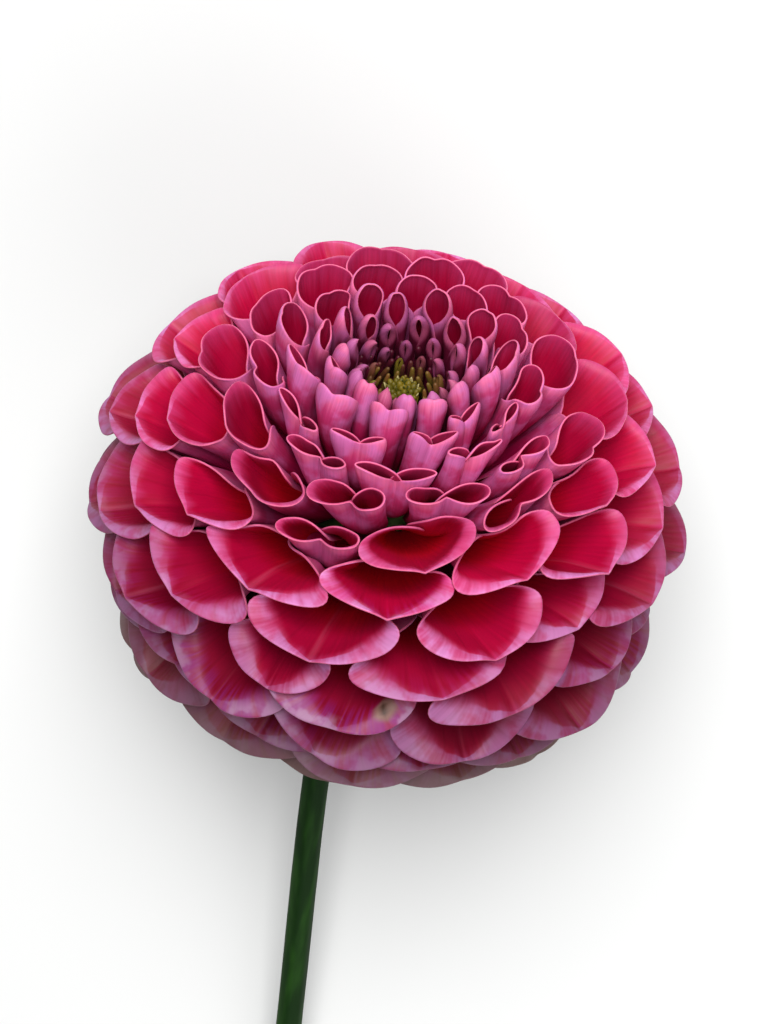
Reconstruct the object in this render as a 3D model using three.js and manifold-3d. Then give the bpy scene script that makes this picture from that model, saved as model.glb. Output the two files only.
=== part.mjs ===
// A pompon dahlia, cut with a length of stem and laid down on its side.
// Millimetres, +Z up, the stem along X with its cut end at -X and the head at +X.
// The origin is the middle of the footprint, on the surface that the flower lies on.

import * as THREE from "three";
import { mergeVertices } from "three/addons/utils/BufferGeometryUtils.js";
import Module from "manifold-3d";

const wasm = await Module();
wasm.setup();

// The head: a ball a little flatter than round, with a crater where the florets are still young.
const HEAD_RADIUS = 30;
const HEAD_HALF_HEIGHT = 23;
const HEAD_TILT = 50; // degrees between the head's axis and straight up, as it lies
const HEAD_ROLL = -1.6; // degrees about the stem, which brings two side florets down together
const CRATER_RADIUS = 2.6; // innermost ring of florets
const CRATER_FLOOR = 17.6; // height of the youngest florets above the head's middle

// The spiral that the florets grow in, counted from the centre outwards.
const FLORET_COUNT = 185;
const DIVERGENCE = 137.66; // degrees from each floret to the next, close to the golden angle
const FIRST_AZIMUTH = 320.1;
const RIM_FLORET = 47; // the floret on the rim of the crater
const RIM_POLAR = 14.4; // its polar angle from the head's axis
const SIDE_FLORET = 131; // from here outwards the spiral keeps an even pitch
const SIDE_POLAR = 71.5;
const SIDE_PITCH = 0.8; // degrees of polar angle from each floret to the next
const POLAR_POWER = Math.log(SIDE_POLAR / RIM_POLAR) / Math.log(SIDE_FLORET / RIM_FLORET);
const GAP = 0.4; // clear space between neighbouring florets

// Florets up to this one are joined by short bridges, row by row; the outer ones are single.
const ROW_SIZE = 20;
const LAST_ROW_FLORET = 140;
const BRIDGE_STEPS = [8, 13]; // a floret's nearest neighbours in the spiral
const BRIDGE_SHARE = 0.5; // a bridge's length, as a share of the way between two florets
const BRIDGE_SLENDERNESS = 0.18; // its thickness, as a share of the same
const BRIDGE_HEIGHT = 0.55; // where it sits, as a share of each floret's length

// The receptacle: the swollen top of the stem that carries every floret.
const RECEPTACLE_RADIUS = 8;
const RECEPTACLE_HEIGHT = 20;
const RECEPTACLE_BASE = -8;
const FIRST_FOOT = 14; // degrees from the top of the dome to the innermost floret's foot
const FOOT_GAP = 0.35;
const DOME_STEP = 15; // degrees between the rings of the dome's outline
const RECEPTACLE_SIDES = 16;

// The stem. Its middle line is given from the head's middle. Where it lies on the surface, a point's
// height is how far the stem is lifted off it there.
const STEM_RADIUS = 1.48;
const STEM_SIDES = 12;
const STEM_STEPS = 20;
const NECK = [
  [-8.4, 0, -7.0],
  [-11.9, 0.3, -9.9],
  [-16.6, 1.5, -12.6],
  [-22.5, 2.4, -14.3],
];
const LYING = [
  [-31, 2.8, 10.2],
  [-58, 1.8, 5.2],
  [-88, 0.4, 0],
];

// The button of unopened buds in the crater.
const CENTRE_SIDES = 12;

// How finely the florets are faceted.
const BUD_SIDES = 5;
const ROW_SIDES = 6;
const OPEN_SIDES = 8;
const WIDEST_SHAPE = 3.2; // the most that a mouth is wider than deep

// The leafy bracts under the head.
const BRACT_COUNT = 5;
const BRACT_LENGTH = 10;
const BRACT_WIDTH = 5;
const BRACT_THICKNESS = 0.7;
const BRACT_DROOP = 24; // degrees below the head's equator
const BRACT_BELLY = 0.4; // where a bract is widest, as a share of its length
const BRACT_FOOT_RADIUS = 5.2;
const BRACT_FOOT_HEIGHT = -12.4;
const BRACT_SEGMENTS = 6; // along each curved side
const CUP_SIDES = 20;

const GREEN = { color: 0x31502f, roughness: 0.6, metalness: 0 };
const LIME = { color: 0x8fa02c, roughness: 0.65, metalness: 0 };
const MAUVE = { color: 0xb3557f, roughness: 0.6, metalness: 0 };
const CRIMSON = { color: 0xb01f48, roughness: 0.6, metalness: 0 };
const PALE = { color: 0xc0708f, roughness: 0.6, metalness: 0 };

const flower = new THREE.Group();
const head = new THREE.Group();
head.rotation.y = THREE.MathUtils.degToRad(HEAD_TILT);
flower.rotation.x = THREE.MathUtils.degToRad(HEAD_ROLL);
flower.add(head);

function radians(degrees) {
  return THREE.MathUtils.degToRad(degrees);
}

function addMesh(parent, name, geometry, finish) {
  const mesh = new THREE.Mesh(geometry, new THREE.MeshStandardMaterial(finish));
  mesh.name = name;
  parent.add(mesh);
  return mesh;
}

// ---- Solids joined by boolean union ----

function toSolid(geometry) {
  const bare = geometry.clone();
  bare.deleteAttribute("normal");
  bare.deleteAttribute("uv");
  const merged = mergeVertices(bare, 1e-4);
  const mesh = new wasm.Mesh({
    numProp: 3,
    vertProperties: new Float32Array(merged.attributes.position.array),
    triVerts: new Uint32Array(merged.index.array),
  });
  return new wasm.Manifold(mesh);
}

function toGeometry(solid) {
  const mesh = solid.getMesh();
  const geometry = new THREE.BufferGeometry();
  geometry.setAttribute("position", new THREE.BufferAttribute(mesh.vertProperties, 3));
  geometry.setIndex(new THREE.BufferAttribute(mesh.triVerts, 1));
  geometry.computeVertexNormals();
  return geometry;
}

function joined(geometries) {
  const solids = geometries.map(toSolid);
  return toGeometry(solids.reduce((whole, next) => whole.add(next)));
}

// ---- Where each floret grows ----

function azimuth(n) {
  return radians(FIRST_AZIMUTH + DIVERGENCE * n);
}

// The middle of a floret's mouth, in the plane through the head's axis: [radius, height].
function mouthPlace(n) {
  if (n < RIM_FLORET) {
    const rimRadius = HEAD_RADIUS * Math.sin(radians(RIM_POLAR));
    const rimHeight = HEAD_HALF_HEIGHT * Math.cos(radians(RIM_POLAR));
    const radius = CRATER_RADIUS * (rimRadius / CRATER_RADIUS) ** (n / RIM_FLORET);
    const climb = Math.sin((Math.PI / 2) * ((radius - CRATER_RADIUS) / (rimRadius - CRATER_RADIUS)));
    return new THREE.Vector2(radius, CRATER_FLOOR + (rimHeight - CRATER_FLOOR) * climb);
  }
  const inner = RIM_POLAR * (n / RIM_FLORET) ** POLAR_POWER;
  const outer = SIDE_POLAR + SIDE_PITCH * (n - SIDE_FLORET);
  const polar = radians(n < SIDE_FLORET ? inner : outer);
  return new THREE.Vector2(HEAD_RADIUS * Math.sin(polar), HEAD_HALF_HEIGHT * Math.cos(polar));
}

// The foot of a floret, just off the receptacle's dome: [radius, height].
function footPlace(n) {
  const polar = radians(FIRST_FOOT + (90 - FIRST_FOOT) * (n / FLORET_COUNT));
  const radius = (RECEPTACLE_RADIUS + FOOT_GAP) * Math.sin(polar);
  return new THREE.Vector2(radius, RECEPTACLE_BASE + (RECEPTACLE_HEIGHT + FOOT_GAP) * Math.cos(polar));
}

// The largest upright ellipse that stays clear of the same ellipse around each neighbour in the
// spiral: [half width across the head, half depth along the head's outline].
function cell(place, n, lean) {
  const here = place(n);
  const pitch = place(n + 0.5).distanceTo(place(n - 0.5)) * lean;
  let best = new THREE.Vector2(0, 0);
  for (let shape = 1; shape <= WIDEST_SHAPE; shape += 0.1) {
    let depth = Infinity;
    for (const step of [1, 2, 3, 5, 8, 13, 21]) {
      const turn = radians(DIVERGENCE * step);
      const sideways = here.x * Math.atan2(Math.sin(turn), Math.cos(turn));
      depth = Math.min(depth, Math.hypot(sideways / shape, pitch * step) / 2);
    }
    if (depth * depth * shape > best.x * best.y) {
      best = new THREE.Vector2(depth * shape, depth);
    }
  }
  return new THREE.Vector2(best.x - GAP / 2, best.y - GAP / 2);
}

// ---- Florets ----

// Outlines of a floret turned about its own axis, as [share of its half width, share of its length].
// An open one is a cup with a deep mouth, a budding one is nearly closed and only dimpled.
const OPEN_OUTLINE = [
  [0, 0],
  [0.8, 0],
  [0.86, 0.7],
  [1, 1],
  [0.82, 1],
  [0.62, 0.72],
  [0, 0.56],
];
const ROW_OUTLINE = [
  [0, 0],
  [0.8, 0],
  [1, 1],
  [0.75, 1],
  [0, 0.8],
];
const BUD_OUTLINE = [
  [0, 0],
  [0.8, 0],
  [1, 0.85],
  [0, 1],
];

function floretGeometry(n, outline, sides) {
  const foot = footPlace(n);
  const mouth = mouthPlace(n);
  const axis = mouth.clone().sub(foot);
  const length = axis.length();
  const along = mouthPlace(n + 0.5).sub(mouthPlace(n - 0.5)).normalize();
  const lean = Math.abs(axis.clone().normalize().cross(along));
  const footCell = cell(footPlace, n, 1);
  const mouthCell = cell(mouthPlace, n, lean);
  const points = outline.map(([radius, height]) => new THREE.Vector2(radius, height * length));
  const geometry = new THREE.LatheGeometry(points, sides);
  geometry.rotateX(Math.PI / 2);
  geometry.rotateZ(Math.PI / sides);
  const position = geometry.attributes.position;
  for (let i = 0; i < position.count; i += 1) {
    const share = position.getZ(i) / length;
    const wide = THREE.MathUtils.lerp(footCell.x, mouthCell.x, share);
    const deep = THREE.MathUtils.lerp(footCell.y, mouthCell.y, share);
    position.setXYZ(i, position.getX(i) * wide, position.getY(i) * deep, position.getZ(i));
  }
  geometry.applyMatrix4(floretMatrix(n));
  return geometry;
}

// Foot at the receptacle, length along Z towards the mouth, width along X across the head.
function floretMatrix(n) {
  const outward = new THREE.Vector3(Math.cos(azimuth(n)), Math.sin(azimuth(n)), 0);
  const up = new THREE.Vector3(0, 0, 1);
  const foot = footPlace(n);
  const axis = mouthPlace(n).sub(foot).normalize();
  const zAxis = outward.clone().multiplyScalar(axis.x).addScaledVector(up, axis.y);
  const xAxis = up.clone().cross(outward);
  const yAxis = zAxis.clone().cross(xAxis);
  const matrix = new THREE.Matrix4().makeBasis(xAxis, yAxis, zAxis);
  matrix.setPosition(outward.multiplyScalar(foot.x).addScaledVector(up, foot.y));
  return matrix;
}

// A short bar between two neighbouring florets, from inside one wall to inside the other.
function bridgeGeometry(from, to) {
  const [start, end] = [from, to].map((n) => {
    const length = mouthPlace(n).distanceTo(footPlace(n));
    return new THREE.Vector3(0, 0, length * BRIDGE_HEIGHT).applyMatrix4(floretMatrix(n));
  });
  const reach = start.distanceTo(end);
  const thickness = reach * BRIDGE_SLENDERNESS;
  const geometry = new THREE.BoxGeometry(thickness, thickness, reach * BRIDGE_SHARE);
  const turn = new THREE.Quaternion().setFromUnitVectors(
    new THREE.Vector3(0, 0, 1),
    end.clone().sub(start).normalize(),
  );
  geometry.applyQuaternion(turn);
  const middle = start.add(end).multiplyScalar(0.5);
  geometry.translate(middle.x, middle.y, middle.z);
  return geometry;
}

function rowGeometry(first, last) {
  const pieces = [];
  for (let n = first; n <= last; n += 1) {
    const budding = n < RIM_FLORET;
    pieces.push(floretGeometry(n, budding ? BUD_OUTLINE : ROW_OUTLINE, budding ? BUD_SIDES : ROW_SIDES));
  }
  for (const step of BRIDGE_STEPS) {
    for (let n = first; n + step <= last; n += 1) {
      pieces.push(bridgeGeometry(n, n + step));
    }
  }
  return joined(pieces);
}

function numbered(n) {
  return String(n).padStart(3, "0");
}

function addFlorets() {
  for (let first = 1; first < LAST_ROW_FLORET; first += ROW_SIZE) {
    const last = first + ROW_SIZE - 1;
    const finish = first < RIM_FLORET ? MAUVE : CRIMSON;
    addMesh(head, `florets_${numbered(first)}_${numbered(last)}`, rowGeometry(first, last), finish);
  }
  for (let n = LAST_ROW_FLORET + 1; n <= FLORET_COUNT; n += 1) {
    addMesh(head, `floret_${numbered(n)}`, floretGeometry(n, OPEN_OUTLINE, OPEN_SIDES), PALE);
  }
}

// ---- Centre, bracts and stem ----

// A solid turned about the head's axis, from its outline as [radius, height].
function turnedGeometry(outline, sides) {
  const points = outline.map(([radius, height]) => new THREE.Vector2(radius, height));
  const geometry = new THREE.LatheGeometry(points, sides);
  geometry.rotateX(Math.PI / 2);
  return geometry;
}

function addCentre() {
  const outline = [
    [0, 12.6],
    [1.3, 12.6],
    [1.7, 15],
    [1.7, 17],
    [1.1, 18],
    [0, 18.3],
  ];
  addMesh(head, "centre_disc", turnedGeometry(outline, CENTRE_SIDES), LIME);
}

function addBracts() {
  const outline = new THREE.Shape();
  const belly = BRACT_LENGTH * BRACT_BELLY;
  const halfFoot = BRACT_WIDTH / 4;
  const pull = BRACT_WIDTH * 0.75; // the curve's handle, which bulges each side to half the width
  outline.moveTo(0, -halfFoot);
  outline.quadraticCurveTo(belly, -pull, BRACT_LENGTH, 0);
  outline.quadraticCurveTo(belly, pull, 0, halfFoot);
  for (let i = 0; i < BRACT_COUNT; i += 1) {
    const geometry = new THREE.ExtrudeGeometry(outline, {
      depth: BRACT_THICKNESS,
      bevelEnabled: false,
      curveSegments: BRACT_SEGMENTS,
    });
    geometry.rotateY(radians(BRACT_DROOP));
    geometry.translate(BRACT_FOOT_RADIUS, 0, BRACT_FOOT_HEIGHT);
    geometry.rotateZ((2 * Math.PI * (i + 0.5)) / BRACT_COUNT);
    addMesh(head, `outer_bract_${i + 1}`, geometry, GREEN);
  }
}

// The cup of thin inner bracts that hugs the underside of the outermost florets' feet.
function addBractCup() {
  const outline = [
    [5.6, -11.2],
    [5.6, -11.8],
    [9.3, -11.3],
    [11.8, -11.9],
    [11.6, -11.4],
    [9.3, -10.6],
    [5.6, -11.2],
  ];
  addMesh(head, "inner_bracts", turnedGeometry(outline, CUP_SIDES), GREEN);
}

function receptacleGeometry() {
  const outline = [
    [0, -14.2],
    [1.7, -14.2],
    [2.6, -12.4],
    [5.2, -11],
    [7.6, -9.6],
  ];
  for (let degrees = 90; degrees >= 0; degrees -= DOME_STEP) {
    const polar = radians(degrees);
    outline.push([RECEPTACLE_RADIUS * Math.sin(polar), RECEPTACLE_BASE + RECEPTACLE_HEIGHT * Math.cos(polar)]);
  }
  return turnedGeometry(outline, RECEPTACLE_SIDES);
}

// The stem leaves the head along its axis, bends down over a neck and lies back to its cut end.
function stemGeometry(floor) {
  const lying = LYING.map(([x, y, lift]) => [x, y, floor + STEM_RADIUS + lift]);
  const route = [...NECK, ...lying].map((point) => new THREE.Vector3(...point));
  const path = new THREE.CatmullRomCurve3(route, false, "centripetal");
  const section = new THREE.Shape();
  section.absarc(0, 0, STEM_RADIUS, 0, 2 * Math.PI);
  return new THREE.ExtrudeGeometry(section, {
    steps: STEM_STEPS,
    curveSegments: STEM_SIDES / 2,
    extrudePath: path,
    bevelEnabled: false,
  });
}

function addStem() {
  const floor = new THREE.Box3().setFromObject(flower, true).min.z;
  const receptacle = receptacleGeometry();
  receptacle.rotateY(radians(HEAD_TILT));
  addMesh(flower, "stem", joined([receptacle, stemGeometry(floor)]), GREEN);
}

addFlorets();
addCentre();
addBracts();
addBractCup();
addStem();

const footprint = new THREE.Box3().setFromObject(flower, true);
const middle = footprint.getCenter(new THREE.Vector3());
flower.position.set(-middle.x, -middle.y, -footprint.min.z);

const model = new THREE.Group();
model.add(flower);

export default model;
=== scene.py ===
"""A cut pompon dahlia lying on a pale floor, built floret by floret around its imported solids.

Lengths are millimetres and angles are degrees until a mesh is placed; Blender's own units are metres.
"""

import logging
import math
import random
from dataclasses import dataclass, fields
from enum import Enum

import bmesh
import bpy
from mathutils import Matrix, Vector, noise
from mathutils.bvhtree import BVHTree


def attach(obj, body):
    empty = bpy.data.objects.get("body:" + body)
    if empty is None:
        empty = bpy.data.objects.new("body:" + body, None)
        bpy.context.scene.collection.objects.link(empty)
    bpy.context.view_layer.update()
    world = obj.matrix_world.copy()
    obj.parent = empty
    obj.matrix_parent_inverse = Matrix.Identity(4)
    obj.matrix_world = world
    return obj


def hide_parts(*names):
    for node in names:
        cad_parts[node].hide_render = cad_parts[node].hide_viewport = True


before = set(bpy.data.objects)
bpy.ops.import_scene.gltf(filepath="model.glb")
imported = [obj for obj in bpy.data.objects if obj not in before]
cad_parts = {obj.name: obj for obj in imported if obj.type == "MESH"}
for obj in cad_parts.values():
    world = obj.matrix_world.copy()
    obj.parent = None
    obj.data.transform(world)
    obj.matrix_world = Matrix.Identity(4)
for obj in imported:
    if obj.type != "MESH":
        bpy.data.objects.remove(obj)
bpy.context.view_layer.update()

MM = 0.001
BODY = "root"
LOG = logging.getLogger("dahlia")

PETAL_MAP = "PetalMap"
MERGE_DISTANCE = 1e-4  # mm

Colour = tuple[float, float, float]
Point = tuple[float, float, float]
Span = tuple[float, float]


class Slot(Enum):
    """The record's material slots."""

    FLORET = "floret"
    YOUNG_FLORET = "young_floret"
    DISC = "disc"
    BRACT = "bract"
    STEM = "stem"


class Trait(Enum):
    """The numbers that the points of a mesh carry for its finish."""

    LIP = "lip"  # distance from the lip, in mm
    EDGE = "edge"  # the same, in widths of the pale band
    GROWTH = "growth"  # 0 for the youngest floret, 1 for the oldest
    TINT = "tint"  # -1 for the darkest floret, 1 for the lightest
    WEAR = "wear"  # how weathered the lip is
    STREAK = "streak"  # how clearly a streak runs along the midrib
    SPOT = "spot"  # 1 in the middle of the blemish
    # painted shade: how far the pale band is darkened into the crimson on a sheltered wing
    FADE = "fade"  # how far the pale band is lost in the crimson
    OUTER = "outer"  # 0 on the front of a thin shell, 1 on its back
    TIP = "tip"  # how far a green piece has the colour of its tip


# ---------------------------------------------------------------------------------------------
# Small helpers
# ---------------------------------------------------------------------------------------------


def smooth(low: float, high: float, value: float) -> float:
    """Ease from 0 at low to 1 at high.

    Args:
        low: where the ease starts.
        high: where it ends.
        value: the place to read.

    Returns:
        A number from 0 to 1.
    """
    share = min(1.0, max(0.0, (value - low) / (high - low)))
    return share * share * (3.0 - 2.0 * share)


def mix(start: float, end: float, share: float) -> float:
    """Return the value a share of the way from start to end."""
    return start + (end - start) * share


def linear(red: int, green: int, blue: int) -> Colour:
    """Turn a colour as seen on a screen, 0 to 255, into the linear light that shaders use.

    Args:
        red: red, 0 to 255.
        green: green, 0 to 255.
        blue: blue, 0 to 255.

    Returns:
        The colour as three numbers from 0 to 1.
    """
    shares = (channel / 255.0 for channel in (red, green, blue))
    low, *rest = (s / 12.92 if s <= 0.04045 else ((s + 0.055) / 1.055) ** 2.4 for s in shares)
    return (low, *rest)


def thicken(bm: bmesh.types.BMesh, thickness: float) -> None:
    """Turn an open sheet into a thin closed shell, and mark its two sides.

    The sheet's own faces become the front of the shell, marked 0. Its back, marked 1, stays
    where the sheet was.

    Args:
        bm: the open sheet.
        thickness: how far the front moves along its normals.
    """
    outer = bm.verts.layers.float.new(Trait.OUTER.value)
    bm.normal_update()
    front = {vert: vert.normal.copy() for vert in bm.verts}
    everything = [*bm.verts, *bm.edges, *bm.faces]
    grown = bmesh.ops.extrude_face_region(bm, geom=everything, use_keep_orig=True)
    for item in grown["geom"]:
        if isinstance(item, bmesh.types.BMVert):
            item[outer] = 1.0
    for vert, normal in front.items():
        vert.co += normal * thickness
    bmesh.ops.recalc_face_normals(bm, faces=bm.faces)
    if bm.calc_volume(signed=True) < 0.0:
        bmesh.ops.reverse_faces(bm, faces=bm.faces)


def finish_mesh(bm: bmesh.types.BMesh, name: str, matrix: Matrix) -> bpy.types.Mesh:
    """Turn a bmesh into a mesh in the scene's frame, and free it.

    Args:
        bm: the bmesh, in mm.
        name: the mesh's name.
        matrix: from the bmesh's frame to the scene.

    Returns:
        The mesh.
    """
    bmesh.ops.transform(bm, matrix=matrix, verts=bm.verts)
    mesh = bpy.data.meshes.new(name)
    bm.to_mesh(mesh)
    bm.free()
    return mesh


# ---------------------------------------------------------------------------------------------
# Where things are
# ---------------------------------------------------------------------------------------------


@dataclass(frozen=True)
class HeadPose:
    """How the head lies: its middle and its axis, in the flower's frame."""

    middle: Point = (30.874, 0.163, 27.286)
    tilt: float = 50.0  # of its axis, from upright
    roll: float = -1.6  # about the stem

    def lying(self) -> Matrix:
        """Return the matrix from the head's middle with level axes, in mm, to the scene, in metres."""
        roll = Matrix.Rotation(math.radians(self.roll), 4, "X")
        return Matrix.Scale(MM, 4) @ Matrix.Translation(self.middle) @ roll

    def matrix(self) -> Matrix:
        """Return the matrix from the head's own frame, in mm, to the scene, in metres."""
        return self.lying() @ Matrix.Rotation(math.radians(self.tilt), 4, "Y")


@dataclass(frozen=True)
class Spiral:
    """The spiral that the florets grow in, counted from the centre of the head outwards."""

    count: int = 185
    divergence: float = 137.66  # from each floret to the next
    first_azimuth: float = 320.1
    head_radius: float = 30.0
    head_half_height: float = 23.0
    crater_radius: float = 2.6  # of the innermost ring of florets
    crater_floor: float = 17.6  # height of their mouths
    rim_floret: int = 47  # the floret on the rim of the crater
    rim_polar: float = 14.4  # its angle from the head's axis
    side_floret: int = 131  # from here outwards the pitch is even
    side_polar: float = 71.5  # its angle from the head's axis
    side_pitch: float = 0.8  # of that angle, from each floret to the next
    dome_radius: float = 8.35  # of the dome that the feet stand on
    dome_height: float = 20.35
    dome_base: float = -8.0
    first_foot: float = 14.0  # angle from the top of the dome to the first foot

    def azimuth(self, number: float) -> float:
        """Return the direction of a floret round the head's axis, in radians."""
        return math.radians(self.first_azimuth + self.divergence * number)

    def polar(self, number: float) -> float:
        """Find how far down the side of the head a floret is.

        Args:
            number: a floret outside the crater.

        Returns:
            Its angle from the head's axis, in degrees.
        """
        if number >= self.side_floret:
            return self.side_polar + self.side_pitch * (number - self.side_floret)
        rise = math.log(self.side_polar / self.rim_polar) / math.log(self.side_floret / self.rim_floret)
        return self.rim_polar * (number / self.rim_floret) ** rise

    def mouth_profile(self, number: float) -> tuple[float, float]:
        """Find a floret's mouth on the head's surface, or inside the crater.

        Args:
            number: the floret.

        Returns:
            The mouth's distance from the head's axis, and its height on it.
        """
        if number >= self.rim_floret:
            polar = math.radians(self.polar(number))
            return self.head_radius * math.sin(polar), self.head_half_height * math.cos(polar)
        rim_radius = self.head_radius * math.sin(math.radians(self.rim_polar))
        rim_height = self.head_half_height * math.cos(math.radians(self.rim_polar))
        radius = self.crater_radius * (rim_radius / self.crater_radius) ** (number / self.rim_floret)
        climb = (radius - self.crater_radius) / (rim_radius - self.crater_radius)
        return radius, mix(self.crater_floor, rim_height, math.sin(math.pi / 2 * climb))

    def foot_profile(self, number: float) -> tuple[float, float]:
        """Return how far a floret's foot is from the head's axis, and its height on it."""
        polar = math.radians(self.first_foot + (90.0 - self.first_foot) * number / self.count)
        return self.dome_radius * math.sin(polar), self.dome_base + self.dome_height * math.cos(polar)

    def point(self, number: float, profile: tuple[float, float]) -> Vector:
        """Place a point of a floret's upright plane in the head's frame.

        Args:
            number: the floret.
            profile: the point's distance from the head's axis, and its height.

        Returns:
            The point, in mm.
        """
        turn = self.azimuth(number)
        return Vector((profile[0] * math.cos(turn), profile[0] * math.sin(turn), profile[1]))


# ---------------------------------------------------------------------------------------------
# Florets
# ---------------------------------------------------------------------------------------------


@dataclass(frozen=True)
class Stage:
    """How far a floret has opened, for a floret this many places out from the centre."""

    number: float
    aim: float  # angle of its mouth end from the head's axis
    rise: float  # how far its mouth stands out from the spiral's surface, in mm
    fill: float  # how much of its room it takes
    aspect: float  # how much wider than deep its room is
    mouth: float  # width at the lip, as a share of the waist
    closing: float  # how far its tip is closed to a point: 1 for a bud
    lid: float  # how deep it is on the side of the head's axis, as a share of its room
    slant: float  # how much further the outer lip stands, as a share of the mouth's depth
    wrap: float  # how far each side is rolled: 1 where the margins meet
    corner: float  # how far the margins run back from the lip, in mm
    fold: float  # how far the pale lip is folded outwards, in degrees
    band: float  # width of the pale lip, in mm
    keel: float  # how far the midrib stands out at the lip, in mm
    pinch: float  # how far the midrib is pressed in at the lip, as a share of the depth
    notch: float  # how far the lip is cut back at the midrib, in mm
    ruffle: float  # waves along the lip, in mm


# number, aim, rise, fill, aspect, mouth, closing, lid, slant, wrap, corner, fold, band, keel, pinch,
# notch, ruffle
STAGES = (
    Stage(-60, -30, 0.4, 0.62, 1.0, 1.00, 1.00, 1.00, 0.3, 1.15, 1.0, 0, 0.3, 0.0, 0.00, 0.0, 0.00),
    Stage(1, -30, 0.4, 0.62, 1.0, 1.00, 1.00, 1.00, 0.3, 1.15, 1.0, 0, 0.3, 0.0, 0.00, 0.0, 0.00),
    Stage(14, -26, 0.2, 0.80, 1.0, 1.00, 1.00, 1.00, 0.6, 1.15, 1.5, 0, 0.3, 0.0, 0.00, 0.0, 0.04),
    Stage(25, -22, 0.2, 0.92, 1.05, 1.00, 0.90, 1.00, 0.8, 1.15, 1.5, 0, 0.3, 0.0, 0.00, 0.0, 0.04),
    Stage(36, -14, 0.0, 0.92, 1.1, 1.00, 0.40, 1.00, 1.2, 1.12, 1.5, 5, 0.3, 0.0, 0.10, 0.6, 0.10),
    Stage(47, -6, 0.0, 0.96, 1.2, 1.05, 0.20, 1.00, 1.0, 1.10, 2.0, 10, 0.4, 0.0, 0.35, 1.6, 0.14),
    Stage(65, 6, -0.3, 0.98, 1.35, 1.08, 0.12, 0.90, 0.6, 1.08, 2.0, 25, 0.5, 0.0, 0.60, 2.4, 0.18),
    Stage(82, 24, -0.8, 0.98, 1.5, 1.08, 0.00, 0.72, 0.5, 1.05, 2.8, 35, 0.6, 0.2, 0.45, 1.8, 0.22),
    Stage(98, 44, -1.2, 0.96, 1.65, 1.10, 0.00, 0.60, 0.7, 1.04, 4.0, 58, 1.0, 1.1, 0.03, 0.6, 0.26),
    Stage(125, 66, -1.9, 0.93, 1.7, 1.16, 0.00, 0.44, 0.8, 1.00, 5.0, 68, 1.6, 1.0, 0.00, 1.1, 0.34),
    Stage(150, 86, -3.4, 0.94, 1.6, 1.25, 0.00, 0.42, 0.9, 0.90, 6.0, 68, 2.1, 0.9, 0.00, 1.2, 0.45),
    Stage(170, 100, -3.8, 0.98, 1.5, 1.30, 0.00, 0.42, 1.0, 0.76, 6.0, 64, 2.3, 0.6, 0.00, 1.1, 0.55),
    Stage(260, 120, -3.8, 0.98, 1.5, 1.30, 0.00, 0.42, 1.0, 0.62, 6.0, 60, 2.2, 0.2, 0.00, 0.8, 0.55),
)


@dataclass(frozen=True)
class Nudge:
    """How one floret differs from its stage and its place in the spiral."""

    across: float = 0.0  # how far its mouth is moved to the right as seen from outside, in mm
    inward: float = 0.0  # how far its mouth is moved towards the head's axis, in mm
    wide: float = 1.0  # share of its room's width
    deep: float = 1.0  # share of its room's depth
    twist: float = 0.0  # how far its mouth is turned clockwise as seen from outside
    aim: float = 0.0  # how much further it leans out than its stage
    hand: int = 0  # the side that is rolled inside, -1 or 1
    ripe: float = 0.0  # places that its stage is ahead
    pinch: float = 1.0  # share of its stage's pinch
    notch: float = 1.0  # share of its stage's notch
    keel: float = 1.0  # share of its stage's keel
    proud: float = 0.0  # how far its mouth stands out from its neighbours', in mm
    curl: float = 0.08  # how far its inner margin curls on inside the mouth, in half turns
    wear: float = 0.0  # how weathered its lip is
    streak: float = 0.0  # how clearly a pale streak runs along its midrib


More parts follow.
